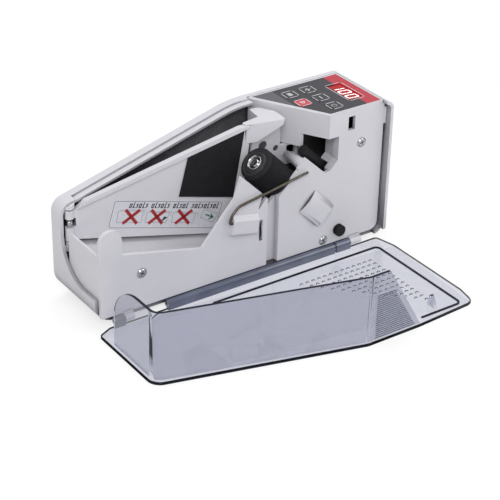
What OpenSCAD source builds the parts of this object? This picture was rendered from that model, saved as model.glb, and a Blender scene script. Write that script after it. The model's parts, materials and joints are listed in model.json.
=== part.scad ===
// Portable banknote counting machine, standing open with its clear lid laid down in front.
// X runs from the left end of the case to the right, Y from the front face to the back,
// and Z up from the table. place() moves the whole machine to its bottom centre.

/* [Case] */
// Length of the case from end to end
case_l = 222; // [216:1:232]
// Height of the flat top above the table
case_h = 104.5; // [103:0.5:108]
// Depth of the case behind its front face
case_d = 54.5; // [53.5:0.5:60]
// Height of the roof at the left end, where its slope starts
left_h = 68; // [66:0.5:70]
// Length of the flat top, from the right end to where the sloping roof starts
top_l = 91; // [88:1:94]
// Length of the drive bay, from the right end to the groove
bay_l = 96; // [94:0.5:98]
// Wall of the case mouldings
wall = 2.2; // [1.8:0.1:2.4]
// Radius of the bottom left corner
corner_low = 14; // [10:1:16]
// Radius of the top left corner
corner_top = 9; // [6:1:11]
// Radius of the two right corners
corner_right = 6; // [5:0.5:7]
// Height of the rubber feet under the case
foot_h = 4.5; // [4:0.1:5]
// Diameter of a rubber foot
foot_d = 10; // [7:0.5:12]
// Reach of the right side wall in front of the front face
side_lip = 4.4; // [3:0.1:4.6]
// How far back the open side of the left end is cut
sweep_y = 43; // [41:0.5:44]
// Height of the open side of the left end
sweep_z = 22; // [20:0.5:24]
// Radius of the sweep between them
sweep_r = 26; // [18:1:28]

/* [Front] */
// Thickness of the front mouldings
front_t = 2.4; // [2:0.1:2.8]
// Height of the front mouldings' lower edge
front_low = 9; // [8.8:0.1:9.6]
// Height of the tall post at the left end
post_h = 68.6; // [66:0.2:71]
// Width of the tall post
post_w = 15.8; // [12:0.2:18]
// Width of the groove between the two front mouldings
groove_w = 8.8; // [6:0.2:9.4]
// Depth of the groove
groove_depth = 4; // [2.6:0.1:5]
// Diameter of the rubber stud
stud_d = 8; // [6:0.2:10]
// Reach of the rubber stud
stud_reach = 3.8; // [2:0.1:3.9]
// Width of the latch slot
latch_w = 5.4; // [4.8:0.1:5.8]
// Diameter of a front screw's head
screw_head_d = 6.4; // [5:0.1:7]

/* [Hopper] */
// Slope of the floor and of the front wall's edge
floor_tilt = 10; // [9:0.5:10.5]
// Height of the floor at the left end
floor_h = 42.6; // [42:0.2:46]
// Thickness of the floor
floor_t = 1.5; // [1:0.1:1.6]
// Thickness of the presser plate
plate_t = 2.4; // [2:0.1:3]
// Thickness of the rubber pad on the presser plate
pad_t = 1; // [0.6:0.1:1.4]
// Diameter of the presser plate's pin
presser_pin_d = 2; // [1.6:0.1:2.4]

/* [Drive] */
// Angle of the roller shafts below the horizontal
feed_tilt = 45; // [43:1:47]
// Diameter of the feed roller
feed_d = 23; // [21:0.5:23.5]
// Length of the feed roller
feed_l = 24; // [18:0.5:24.2]
// Diameter of the exit roller
exit_d = 7.8; // [7:0.2:8.2]
// Diameter of the roller shafts
shaft_d = 4; // [3:0.2:5]
// Diameter of the motor
motor_d = 20; // [16:0.5:21]
// Length of the motor
motor_l = 25; // [18:0.5:27]
// Working diameter of the feed shaft's pulley
feed_pulley_d = 14; // [12:0.5:15]
// Working diameter of the exit shaft's pulley
exit_pulley_d = 9; // [7.5:0.5:11]
// Working diameter of the motor's pulley
motor_pulley_d = 6; // [5:0.5:8]
// Thickness of the belts
belt_t = 1; // [0.8:0.1:1.2]

/* [Controls] */
// Width of a key
key_w = 9.6; // [8:0.2:10.4]
// Distance from key to key
key_pitch = 14.4; // [13.8:0.2:14.8]
// Travel of a key
key_travel = 0.6; // [0.3:0.1:0.8]
// Width of the display window
display_w = 11.4; // [9:0.2:12]
// Length of the display window
display_l = 25.6; // [20:0.2:27]

/* [Lid] */
// Thickness of the clear lid
lid_t = 2; // [1.6:0.1:2.2]
// Height of the lid's hood above the table
hood_h = 48.5; // [44:0.5:50]
// Start of the lid's long hinge barrel, from the left end
barrel_x = 49; // [45:1:92]
// Diameter of the hinge barrels
barrel_d = 5.2; // [4.4:0.1:5.4]
// Diameter of the hinge pins
hinge_pin_d = 2; // [1.6:0.1:2.6]

/* [Fits] */
// Radial clearance of a turning shaft
running = 0.05; // [0.03:0.01:0.09]
// Gap between parts that move past each other
gap = 0.4; // [0.3:0.05:0.5]

/* [Hidden] */
$fn = 48;
eps = 0.01;
big = 400;

// Case outline
bend_x = case_l - top_l;
roof_slope = atan((case_h - left_h) / bend_x);
case_low = foot_h;
back_in = case_d - wall;
bend_r = 80;
roof_ledge_y = sweep_y + 0.5;
roof_ledge_w = 5;
roof_ledge_drop = 1.2;
roof_ledge_t = 1.6;
rim = 3.2;

// Hinge of the lid
hinge_y = -1;
hinge_z = front_low - barrel_d / 2 - gap;
hinge_r = hinge_pin_d / 2;
lid_left = -1.5;
lid_right = case_l - 1;
lid_gap = 0.5;
hood_left = 0.2;
hood_wall = 2;
lid_reach = case_h + lid_gap + hood_wall - hinge_z - hinge_y;

// Position of the machine in its own frame
origin_x = (lid_left + case_l) / 2;
origin_y = (case_d - lid_reach) / 2;

// Front mouldings
wall_left = 2.6;
groove_x = case_l - bay_l;
panel_left = groove_x + groove_w;
panel_right = case_l - wall - 2.3;
tab_z = case_h - 17.5;
cap_plate_t = 2.6;
panel_top = case_h - cap_plate_t;
latch_x = case_l - 30.9;
latch_z = case_h - 10.5;
latch_h = 9.6;
stud_at = [case_l - 38, 18];
screws_at = [[case_l - 22, case_h - 26.5], [case_l - 50, 13], [32, 33]];
boss_r = 2.6;
screw_r = 1.25;

// Roller shafts: n runs across them, up and to the right, and d along them, down and to the right,
// both from the free end of the feed roller
feed_x = case_l - 99.3;
feed_z = case_h - 24.95;
feed_y = feed_d / 2 - 0.5;
exit_n = 25.9;
exit_y = 12;
exit_d0 = 28.3;
exit_l = 28.2;
exit_cap = 1.5;
tongue_n = [13.4, 22.2];
tongue_d = 24.1;
tongue_back = 20;
feed_cut_d = feed_l + 0.8;
fin_n = -feed_d / 2 - 1.3;

// Drive frame
guide_y = 26;
guide_t = 2.4;
cheek_t = 3;
cheek_top_d = feed_l + 3.5;
cheek_low_d = 58.5;
motor_n = 14;
motor_y = guide_y + guide_t + 1 + motor_d / 2;
motor_d0 = cheek_low_d - motor_l;
belt_w = 2.2;
belt_a_d = cheek_low_d + cheek_t + 1.2;
belt_b_d = belt_a_d + belt_w + 1.6;
flange_t = 0.6;
flange_h = 1.2;
sensor_at = [[groove_x + 13.5, case_h - 23.8], [groove_x + 23.9, case_h - 28.3]];
sensor_r = [3.2, 2.1];

// Control cap
cap_back = case_d - rim - 1;
cap_right = case_l - corner_right;
cap_left_front = case_l - 48.8;
cap_left_back = case_l - 78;
cap_bevel = 0.9;
cap_lean = atan((cap_left_front - cap_left_back) / cap_back);
membrane_t = 0.5;
membrane_edge = 1.3;
membrane_front = 0.7;
skirt_low = case_h - 17.5;
skirt_back_low = case_h - 27;
skirt_step_y = 17.5;
skirt_end = 0.3;
key_x = case_l - 52.9;
key_y = 38.4;
key_h = 4.2;
display_at = [case_l - 19.2, 23.6];
board_z = case_h - cap_plate_t - 6.6;
board_t = 1.6;

// Presser plate
pivot_x = 6.6;
pivot_y = 43.4;
barrel_out = 2.9;
pad_touch_x = groove_x - 1;
plate_l = groove_x - 3;
plate_rise = 2.3;
presser_angle = atan((pivot_y - feed_y - feed_d / 2 - gap - pad_t - plate_t / 2)
    / (pad_touch_x - pivot_x));
plate_low = floor_h + 1.3;
plate_top_left = left_h - 3;
handle_top = case_h - roof_ledge_drop - roof_ledge_t - 1.6;

// Battery bay
cell_r = 7.1;
cell_l = 50;
cells_x = corner_low + 1;
cells_z = case_low + wall + cell_r;
cells_y = back_in - cell_r - 0.6;
door_x = [cells_x - 1, cells_x + 2 * cell_l + 1.6];
door_z = [case_low + wall + 0.4, case_low + wall + 2 * cell_r + 0.6];
door_lip = 1.6;
door_t = 1.1;

jack_at = [case_l - 16, 22];

// ---- helpers ----

module place() translate([-origin_x, -origin_y, 0]) children();

// Extrudes an outline drawn in X and Z from y0 to y1
module front_slab(y0, y1) translate([0, y1, 0]) rotate([90, 0, 0]) linear_extrude(y1 - y0) children();

// Extrudes an outline drawn in Y and Z from x0 to x1
module side_slab(x0, x1) translate([x0, 0, 0]) rotate([90, 0, 90]) linear_extrude(x1 - x0) children();

// Extrudes an outline drawn in X and Y from z0 to z1
module flat_slab(z0, z1) translate([0, 0, z0]) linear_extrude(z1 - z0) children();

module rounded(r) offset(r) offset(delta = -r) children();

// A point n across and d along the roller shafts, in X and Z
function at(n, d) = [feed_x + n * sin(feed_tilt) + d * cos(feed_tilt),
    feed_z + n * cos(feed_tilt) - d * sin(feed_tilt)];

// Moves children onto a line parallel to the shafts, with their Z axis along it
module on_shaft(n, y, d) translate([at(n, d)[0], y, at(n, d)[1]]) rotate([0, 90 + feed_tilt, 0]) children();

// A box from n0 to n1 across the shafts, d0 to d1 along them and y0 to y1 in depth
module shaft_box(n0, n1, d0, d1, y0, y1)
    front_slab(y0, y1) polygon([at(n0, d0), at(n0, d1), at(n1, d1), at(n1, d0)]);

module ring_tube(h, r_out, r_in) difference() {
    cylinder(h = h, r = r_out);
    translate([0, 0, -eps]) cylinder(h = h + 2 * eps, r = r_in);
}

// ---- case ----

module case_outline(inset = 0) offset(delta = -inset) hull() {
    translate([corner_low, case_low + corner_low]) circle(corner_low);
    translate([corner_top, left_h + corner_top * tan(roof_slope) - corner_top / cos(roof_slope)])
        circle(corner_top);
    // bend of the roof
    polygon(concat([[bend_x, case_h / 2]], [for (i = [0:bend_steps]) bend_at + bend_r
        * [-sin(i * roof_slope / bend_steps), cos(i * roof_slope / bend_steps)]]));
    translate([case_l - corner_right, case_h - corner_right]) circle(corner_right);
    translate([case_l - corner_right, case_low + corner_right]) circle(corner_right);
}

bend_steps = 6;
bend_at = [bend_x + bend_r * tan(roof_slope / 2), case_h - bend_r];

// The open side of the left end, seen along X: all that lies in front of and above the sweep
module sweep_outline() {
    translate([-big / 2, sweep_z + sweep_r]) square([big / 2 + sweep_y, big]);
    translate([-big / 2, sweep_z]) square([big / 2 + sweep_y - sweep_r, big]);
    translate([sweep_y - sweep_r, sweep_z + sweep_r]) circle(sweep_r, $fn = 72);
}

module screw_bosses() for (s = screws_at) translate([s[0], front_t, s[1]]) rotate([-90, 0, 0])
    cylinder(h = back_in - front_t + eps, r = boss_r);

module rear_shell() color("gainsboro") place() difference() {
    union() {
        difference() {
            front_slab(-side_lip, case_d) case_outline();
            front_slab(-side_lip - 1, back_in) case_outline(wall);
            // open side and top of the hopper
            side_slab(-1, cap_left_back) sweep_outline();
            side_slab(-1, case_l - corner_right) translate([-big / 2, -1])
                square([big / 2 + front_t + gap, case_h]);
            // opening under the control cap
            flat_slab(case_h - corner_right, case_h + 1) translate([cap_left_back - 1, -big / 2])
                square([cap_right + 1 - cap_left_back + gap, big / 2 + cap_back + gap]);
            side_slab(-1, case_l + 1) translate([-big / 2, -1])
                square([big / 2, front_low + 1]);
        }
        // inner ledge of the sloping roof
        front_slab(roof_ledge_y, roof_ledge_y + roof_ledge_w + eps) intersection() {
            difference() {
                case_outline(roof_ledge_drop);
                case_outline(roof_ledge_drop + roof_ledge_t);
            }
            translate([corner_top + 2, sweep_z + sweep_r])
                square([cap_left_back - corner_top - 2 - gap, case_h]);
        }
        screw_bosses();
        // seat of the presser pin under the roof
        intersection() {
            translate([pivot_x, pivot_y, presser_pin_top()]) cylinder(h = 10, r = barrel_out + 0.6);
            front_slab(0, case_d) case_outline(roof_ledge_drop);
        }
    }
    // front of the roof stays open in front of the ledge
    side_slab(corner_top + 2, cap_left_back) translate([-1, sweep_z + sweep_r])
        square([roof_ledge_y + 1, case_h]);
    front_slab(roof_ledge_y - 1, roof_ledge_y + roof_ledge_w) intersection() {
        difference() {
            case_outline(-1);
            case_outline(roof_ledge_drop);
        }
        translate([corner_top + 2, sweep_z + sweep_r])
            square([cap_left_back - corner_top - 2 - gap, case_h]);
    }
    for (s = screws_at) translate([s[0], front_t - eps, s[1]]) rotate([-90, 0, 0])
        cylinder(h = 9, r = screw_r);
    // battery opening and the seat of its door
    translate([door_x[0], back_in - 1, door_z[0]])
        cube([door_x[1] - door_x[0], wall + 2, door_z[1] - door_z[0]]);
    translate([door_x[0] - door_lip, case_d - door_t, door_z[0] - door_lip / 2])
        cube([door_x[1] - door_x[0] + 2 * door_lip, door_t + 1, door_z[1] - door_z[0] + 1.5 * door_lip]);
    translate([jack_at[0], back_in - 1, jack_at[1]]) rotate([-90, 0, 0])
        cylinder(h = wall + 2, r = jack_r + running);
}

module rubber_feet() color("dimgray") place()
    for (x = [20, case_l - 18]) for (y = [front_t + gap + foot_d / 2 + 3, case_d - foot_d / 2 - 3])
        translate([x, y, 0]) rotate_extrude() polygon([[0, 0], [foot_d / 2 - 0.8, 0],
            [foot_d / 2, 0.8], [foot_d / 2, foot_h], [0, foot_h]]);

// ---- front ----

// Right panel with the note window, the latch slot and the tongue between the rollers
module panel_outline() difference() {
    union() {
        rounded(6) polygon([[panel_left - 20, front_low], [panel_right, front_low],
            [panel_right, panel_top + 10], [panel_left - 20, panel_top + 10]]);
        translate([panel_right - 5, tab_z]) square([7, panel_top - tab_z - 3]);
    }
    translate([-big / 2, -1]) square([big / 2 + panel_left, big]);
    translate([0, panel_top]) square(big);
    feed_cut();
    // note window
    polygon([at(tongue_n[0] - 1, -big), at(tongue_n[0] - 1, tongue_d), at(tongue_n[1], tongue_d),
        window[0], window[1], window[2], window[3], [cap_left_front + wall + 0.1, skirt_low],
        [cap_left_front + wall + 0.1, big]]);
    translate([latch_x - latch_w / 2, latch_z - latch_h / 2]) square([latch_w, latch_h]);
}
window = [[case_l - 50.8, case_h - 41.2], [case_l - 47, case_h - 40.7], [case_l - 40.9, case_h - 34.4],
    [case_l - 40.8, skirt_low]];

// Cut-out of the feed roller
module feed_cut()
    polygon([at(-big, -big), at(tongue_n[0], -big), at(tongue_n[0], feed_cut_d), at(-big, feed_cut_d)]);

// Walls of the note window behind its right edge: a flange, and a deeper wall set back from it
module window_walls() {
    front_slab(eps, window_wall_y) window_strip(0, wall_thin);
    front_slab(window_wall_y - wall_thin, window_deep_y) intersection() {
        window_strip(wall_thin - 0.4, 2 * wall_thin - 0.4);
        translate([0, window[2][1] - 4]) square(big);
    }
}
module window_strip(a, b) intersection() {
    difference() {
        offset(delta = b) window_side();
        offset(delta = a) window_side();
    }
    translate([window[1][0], 0]) square([big, skirt_low + 2]);
}
module window_side() polygon([[window[1][0] - 20, window[1][1]], window[1], window[2], window[3],
    [window[3][0], big], [window[1][0] - 20, big]]);
window_wall_y = 6;
window_deep_y = 15;
wall_thin = 1.4;

module case_knuckle(x0, x1) difference() {
    union() {
        translate([x0, hinge_y, hinge_z]) rotate([0, 90, 0]) cylinder(h = x1 - x0, r = barrel_d / 2);
        translate([x0, hinge_y, hinge_z]) cube([x1 - x0, front_t - hinge_y, front_low - hinge_z + 1]);
    }
    translate([x0 - 1, hinge_y, hinge_z]) rotate([0, 90, 0]) cylinder(h = x1 - x0 + 2, r = hinge_r);
}
right_knuckle = [case_l - 28.6, case_l - 20];

module front_panel() color("gainsboro") place() difference() {
    union() {
        front_slab(0, front_t) panel_outline();
        // tongue that leads the notes between the two rollers
        on_shaft((tongue_n[0] + tongue_n[1]) / 2, 0, tongue_d) rotate([0, -90, -90]) hull() {
            tongue_end(0, 4.4);
            tongue_end(tongue_back, 2.6);
        }
        // floor and sides of the groove
        front_slab(groove_depth, groove_depth + front_t) translate([groove_x, front_low])
            square([groove_w + front_t, 50]);
        front_slab(eps, groove_depth + front_t) translate([panel_left, front_low]) square([front_t, 49]);
        // half-moon scoop that marks where the notes come out
        scoop();
        case_knuckle(right_knuckle[0], right_knuckle[1]);
        window_walls();
    }
    for (s = [screws_at[0], screws_at[1]]) translate([s[0], -1, s[1]]) rotate([-90, 0, 0]) {
        cylinder(h = front_t + 2, r = screw_r + running);
        cylinder(h = 1.6, r = screw_head_d / 2 + 0.3);
    }
    translate([stud_at[0], -1, stud_at[1]]) rotate([-90, 0, 0]) cylinder(h = front_t + 2, r = stud_d / 4);
    // the feed roller turns through the groove's side
    front_slab(-1, guide_y) feed_cut();
}

// One end of the tongue: a rounded nose of radius r, with its root in the panel
module tongue_end(y, r) translate([0, 0, y]) linear_extrude(eps) {
    translate([r, 0]) circle(r, $fn = 32);
    translate([r, -r]) square([8, 2 * r]);
}

// A shallow half-moon hood with an open mouth that faces the feed roller
module scoop() difference() {
    scoop_body(scoop_r);
    scoop_body(scoop_r - scoop_t);
}
module scoop_body(r) on_shaft(scoop_n, scoop_r - scoop_reach, scoop_d) intersection() {
    rotate([0, 0, 90]) rotate([0, -scoop_fall, 0]) translate([0, 0, scoop_r == r ? 0 : -1])
        cylinder(h = 30, r = r, $fn = 120);
    translate([-scoop_w / 2, -scoop_r - 1, scoop_r == r ? 0 : -1])
        cube([scoop_w, scoop_reach + 1 + eps, scoop_r == r ? scoop_l : scoop_l / 3]);
}
scoop_n = 1.4;
scoop_d = 47.6;
scoop_w = 17.6;
scoop_l = 20;
scoop_r = 22.3;
scoop_t = 0.7;
scoop_reach = 2.3;
scoop_fall = 4.6;

module rubber_stud() color("black") place() translate([stud_at[0], -stud_reach, stud_at[1]])
    rotate([-90, 0, 0]) {
        rotate_extrude() polygon([[0, 0], [stud_d / 2 - 0.4, 0], [stud_d / 2, 0.4], [stud_d / 2, 1.1],
            [stud_d / 2 - 0.5, 1.5], [stud_d / 3, 1.5], [stud_d / 3, 2.5], [stud_d / 2 - 0.4, 2.5],
            [stud_d / 2, 2.9], [stud_d / 2, stud_reach], [0, stud_reach]]);
        cylinder(h = stud_reach + front_t, r = stud_d / 4);
    }

module screw_solid() {
    difference() {
        rotate_extrude() polygon([[0, 0], [screw_head_d / 2 - 0.6, 0], [screw_head_d / 2, 0.6],
            [screw_head_d / 2, 1.8], [0, 1.8]]);
        for (a = [0, 90]) rotate(a) translate([-1.7, -0.35, -eps]) cube([3.4, 0.7, 1]);
    }
    cylinder(h = 10, r = screw_r);
}

module panel_screws() color("silver") place()
    for (s = screws_at) translate([s[0], screw_seat - 1.8, s[1]]) rotate([-90, 0, 0]) screw_solid();
screw_seat = 0.6;

// Left front wall with its post, its low edge and the fin beside the feed roller
module wall_outline() difference() {
    union() {
        rounded(0.8) polygon([[wall_left, front_low], [wall_left, wall_h], [wall_left + post_w, wall_h],
            wall_dip, [groove_x - 25.3, wall_h + 14.8], at(fin_n, -12), at(fin_n, 11.9),
            [groove_x - 7.3, wall_h + 1.5],
            [groove_x, wall_h + 9.8], [groove_x, front_low]]);
        translate([wall_left, front_low + 4]) square([post_w, post_h - post_w / 2 - front_low - 4]);
        translate([wall_left + post_w / 2, post_h - post_w / 2]) circle(post_w / 2);
    }
    translate([groove_x, 0]) square(big);
}
wall_h = 49.8;
wall_dip = [groove_x - 50, wall_h - (groove_x - 50 - wall_left - post_w) * tan(floor_tilt + 3)];
left_knuckle = [19.6, 26];

module hopper_wall() color("gainsboro") place() difference() {
    union() {
        front_slab(0, front_t) wall_outline();
        // left end wall of the hopper
        side_slab(wall_left, wall_left + 1.6) polygon([[eps, front_low + 4], [eps, end_wall_h],
            [pivot_y - barrel_out - 2.6, end_wall_h], [pivot_y - barrel_out - 2.6, cells_z + cell_r + 2],
            [12, end_wall_low], [front_t, end_wall_low], [front_t, front_low + 4]]);
        // side of the groove
        front_slab(eps, groove_depth + front_t - gap) translate([groove_x - front_t, front_low])
            square([front_t, wall_h - front_low]);
        case_knuckle(left_knuckle[0], left_knuckle[1]);
    }
    translate([screws_at[2][0], -1, screws_at[2][1]]) rotate([-90, 0, 0]) {
        cylinder(h = front_t + 2, r = screw_r + running);
        cylinder(h = 1.6, r = screw_head_d / 2 + 0.3);
    }
    // slot of the sensing leaf
    translate([leaf_x - leaf_slot / 2, -1, leaf_z]) cube([leaf_slot, front_t + 2, leaf_h]);
}
end_wall_h = 52.6;
end_wall_low = 17;
leaf_x = groove_x - 5;
leaf_z = 28.5;
leaf_h = 15;
leaf_slot = 2.6;

// Sloping floor that the notes stand on
module hopper_floor() color("whitesmoke") place() difference() {
    union() {
        front_slab(front_t + eps, back_in - 0.2) polygon([[floor_x0, floor_at(floor_x0)],
            [floor_x1, floor_at(floor_x1)], [floor_x1, floor_at(floor_x1) - floor_t],
            [floor_x0, floor_at(floor_x0) - floor_t]]);
        translate([pivot_x, pivot_y, floor_h - 6]) cylinder(h = 6.6, r = barrel_out);
        // rib against the case wall that carries the pin's end
        translate([wall + 0.2, pivot_y - 1, floor_h - 6]) cube([pivot_x - wall - 0.2, 2, 4]);
    }
    translate([pivot_x, pivot_y, floor_h - 7]) cylinder(h = 9, r = presser_pin_d / 2);
}
floor_x0 = wall_left + 1.8;
floor_x1 = groove_x - front_t - 0.3;
function floor_at(x) = floor_h - (x - floor_x0) * tan(floor_tilt);

// ---- presser plate ----

function presser_pin_top() = plate_top_left + 1.2;
barrel_gap = [53, 59];

// Moves children to the plate's own frame: x along it from the pin, y across it
module on_plate() translate([pivot_x, pivot_y, 0]) rotate(-presser_angle) children();

// Height of the plate's sloping top edge, and of the pad's below its rim
function plate_top(x) = plate_top_left + plate_rise + x * tan(roof_slope);
function pad_top(x) = plate_top(x) - rim_h - 0.2;

module plate_outline() rounded(1.5) polygon([[barrel_out + 1, plate_low],
    [plate_l - 25, plate_low - (plate_l - 25) * tan(floor_tilt)], [plate_l - 6, 42],
    [plate_l, handle_top - 7], [plate_l, handle_top - 0.4],
    [plate_l - 8, min(plate_top(plate_l - 8), handle_top - 0.4)], [10, plate_top(10)],
    [barrel_out + 1, plate_top_left]]);

module presser_plate() color("gainsboro") place() difference() {
    union() {
        on_plate() {
            front_slab(-plate_t / 2, plate_t / 2) plate_outline();
            // thickened top rim
            front_slab(-plate_t / 2 - 1.8, plate_t / 2) intersection() {
                plate_outline();
                polygon([[barrel_out + 1, plate_top(barrel_out + 1) - rim_h],
                    [plate_l, plate_top(plate_l) - rim_h], [plate_l, case_h], [barrel_out + 1, case_h]]);
            }
            for (z = [[plate_low, barrel_gap[0]], [barrel_gap[1], plate_top_left]])
                translate([0, 0, z[0]]) cylinder(h = z[1] - z[0], r = barrel_out);
            for (z = [[plate_low, barrel_gap[0]], [barrel_gap[1], plate_top_left]])
                translate([0, -plate_t / 2, z[0]]) cube([barrel_out + 2, plate_t, z[1] - z[0]]);
        }
        // thumb grip at the free end
        intersection() {
            flat_slab(handle_low - 4, handle_top) translate([groove_x, 0]) handle_outline();
            front_slab(0, case_d) translate([groove_x, handle_low]) polygon([[-4, 0], [6, 0], [24.5, 10.5],
                [27, 13], [27, 30], [-4, 30]]);
            // scooped front
            difference() {
                cube([big, big, case_h]);
                translate([groove_x + 12, 19.6 - 24, handle_low + 4]) rotate([0, 0, -14]) scale([1, 1, 0.7])
                    sphere(24, $fn = 72);
            }
        }
    }
    translate([pivot_x, pivot_y, 0]) cylinder(h = case_h, r = presser_pin_d / 2 + running);
    // recess for the label
    on_plate() front_slab(-plate_t / 2 - 1, -plate_t / 2 + label_t) label_outline();
}

module handle_outline() rounded(1.2) polygon([[-2, 27.5], [-2, 23.8], [6, 21.8], [23, 17.4], [25.4, 19],
    [26, 31], [20.5, 41], [13.5, 42.2], [12, 30]]);

module pad_outline() polygon([[plate_l - 50, 59], [plate_l - 43.5, pad_top(plate_l - 43.5)],
    [plate_l - 4.5, pad_top(plate_l - 4.5)], [plate_l - 12, 50.6]]);
rim_h = 3;

module presser_pad() color("black") place() on_plate()
    front_slab(-plate_t / 2 - pad_t, -plate_t / 2) pad_outline();

label_t = 0.3;
module label_outline() rounded(2)
    polygon([[24.2, 51.6], [28.2, 66.3], [plate_l - 24.8, 49.7], [plate_l - 25.8, 34.9]]);
module presser_label() color("white") place() on_plate()
    front_slab(-plate_t / 2, -plate_t / 2 + label_t) difference() {
        offset(delta = -0.05) label_outline();
        offset(delta = 0.2) pad_outline();
    }

module presser_pin() color("silver") place() translate([pivot_x, pivot_y, floor_h - 6])
    cylinder(h = presser_pin_top() - floor_h + 6, r = presser_pin_d / 2);

// Torsion spring on the pin, with one leg along the back of the plate
module presser_spring() color("silver") place() on_plate() {
    turns = 5;
    wire = 0.7;
    r = presser_pin_d / 2 + 0.8;
    for (i = [0:turns - 1]) translate([0, 0, barrel_gap[0] + 0.8 + i * (wire + 0.2)])
        rotate_extrude($fn = 32) translate([r, 0]) circle(wire / 2, $fn = 13);
    translate([0, 0, barrel_gap[0] + 0.8 - wire / 2]) ring_tube(turns * (wire + 0.2), r + 0.15, r - 0.15);
    translate([0, r, barrel_gap[0] + 0.8]) rotate([0, 90, 0]) cylinder(h = 13, r = wire / 2);
}

// ---- rollers and drive ----

module feed_tyre() color("black") place() on_shaft(0, feed_y, 0.6) difference() {
    cylinder(h = feed_l - 0.6, r = feed_d / 2, $fn = 96);
    translate([0, 0, -1]) cylinder(h = feed_l + 2, r = feed_hub_r, $fn = 96);
}
feed_hub_r = 8;

module feed_hub() color("black") place() on_shaft(0, feed_y, 0) difference() {
    union() {
        cylinder(h = feed_l, r = feed_hub_r);
        cylinder(h = 0.6, r = feed_d / 2 - 2);
    }
    translate([0, 0, -1]) cylinder(h = feed_l + 2, r = shaft_d / 2);
    translate([0, 0, -1]) cylinder(h = 1 + screw_pocket, r = washer_r + 0.2);
}
screw_pocket = 1.6;
washer_r = 5.2;

// Chrome cap screw and its dished washer on the free end of the feed shaft
module feed_screw() color("silver") place() on_shaft(0, feed_y, 0) difference() {
    union() {
        translate([0, 0, screw_pocket - 0.8]) cylinder(h = 0.8, r = washer_r);
        translate([0, 0, -0.6]) ring_tube(screw_pocket + 0.2, washer_r, washer_r - 0.8);
        cylinder(h = screw_pocket, r = 2.6);
    }
    for (a = [0, 90]) rotate(a) translate([-1.6, -0.4, -1]) cube([3.2, 0.8, 1.9]);
}

module feed_shaft() color("silver") place() on_shaft(0, feed_y, screw_pocket)
    cylinder(h = belt_b_d + belt_w + 1.4 - screw_pocket, r = shaft_d / 2);

// A pulley for one belt, with a flange on both sides
module pulley(d, bore) difference() {
    union() {
        cylinder(h = belt_w + 2 * (flange_t + 0.2), r = d / 2);
        for (z = [0, belt_w + flange_t + 0.4]) translate([0, 0, z])
            cylinder(h = flange_t, r = d / 2 + flange_h);
    }
    translate([0, 0, -1]) cylinder(h = belt_w + 5, r = bore);
}
pulley_back = flange_t + 0.2;

module feed_pulley() color("ivory") place() {
    on_shaft(0, feed_y, belt_a_d - pulley_back) pulley(feed_pulley_d, shaft_d / 2);
    on_shaft(0, feed_y, belt_b_d - pulley_back) pulley(feed_pulley_d, shaft_d / 2);
}

module exit_roller() color("black") place() on_shaft(exit_n, exit_y, exit_d0) difference() {
    union() {
        cylinder(h = exit_l, r = exit_d / 2 - 0.6);
        for (z = [[0, 0.72], [0.76, 0.92], [0.96, 1]]) translate([0, 0, z[0] * exit_l])
            cylinder(h = (z[1] - z[0]) * exit_l, r = exit_d / 2);
    }
    translate([0, 0, exit_cap]) cylinder(h = exit_l, r = shaft_d / 2);
}

module exit_shaft() color("silver") place() on_shaft(exit_n, exit_y, exit_d0 + exit_cap)
    cylinder(h = belt_b_d + belt_w + 1.4 - exit_d0 - exit_cap, r = shaft_d / 2);

module exit_pulley() color("ivory") place()
    on_shaft(exit_n, exit_y, belt_b_d - pulley_back) pulley(exit_pulley_d, shaft_d / 2);

module motor_shaft() color("silver") place() on_shaft(motor_n, motor_y, motor_d0 + 2)
    cylinder(h = belt_a_d + belt_w + 1.4 - motor_d0 - 2, r = motor_shaft_r);
motor_shaft_r = 1;

module motor_pulley() color("ivory") place()
    on_shaft(motor_n, motor_y, belt_a_d - pulley_back) pulley(motor_pulley_d, motor_shaft_r);

// A small brushed motor with flattened sides
module motor_body() color("silver") place() on_shaft(motor_n, motor_y, motor_d0) difference() {
    union() {
        intersection() {
            cylinder(h = motor_l, r = motor_d / 2);
            translate([-motor_d * 0.38, -motor_d, -1]) cube([motor_d * 0.76, 2 * motor_d, motor_l + 2]);
        }
        translate([0, 0, motor_l - eps]) cylinder(h = 1.6, r = 3);
    }
    translate([0, 0, 1.8]) cylinder(h = motor_l, r = motor_shaft_r + running);
}

// Closed belt round two pulleys, in a plane across the shafts
module belt(a, ra, b, rb, d) on_shaft(a[0], a[1], d) linear_extrude(belt_w) difference() {
    belt_loop(a, ra + gap + belt_t, b, rb + gap + belt_t);
    belt_loop(a, ra + gap, b, rb + gap);
}
module belt_loop(a, ra, b, rb) hull() {
    circle(ra);
    translate([a[0] - b[0], b[1] - a[1]]) circle(rb);
}

module drive_belt() color("dimgray") place()
    belt([0, feed_y], feed_pulley_d / 2, [motor_n, motor_y], motor_pulley_d / 2, belt_a_d);
module transfer_belt() color("dimgray") place()
    belt([0, feed_y], feed_pulley_d / 2, [exit_n, exit_y], exit_pulley_d / 2, belt_b_d);

// Bearings of the two shafts: n, y, d and length of each; the short exit roller hangs from one long bearing
bearings = [[0, feed_y, cheek_top_d, cheek_t], [0, feed_y, cheek_low_d, cheek_t],
    [exit_n, exit_y, cheek_low_d, 2 * cheek_t]];
bearing_r = shaft_d / 2 + 1.5;

module shaft_bearings() color("tan") place() for (b = bearings) on_shaft(b[0], b[1], b[2])
    ring_tube(b[3], bearing_r, shaft_d / 2 + running);

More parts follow.
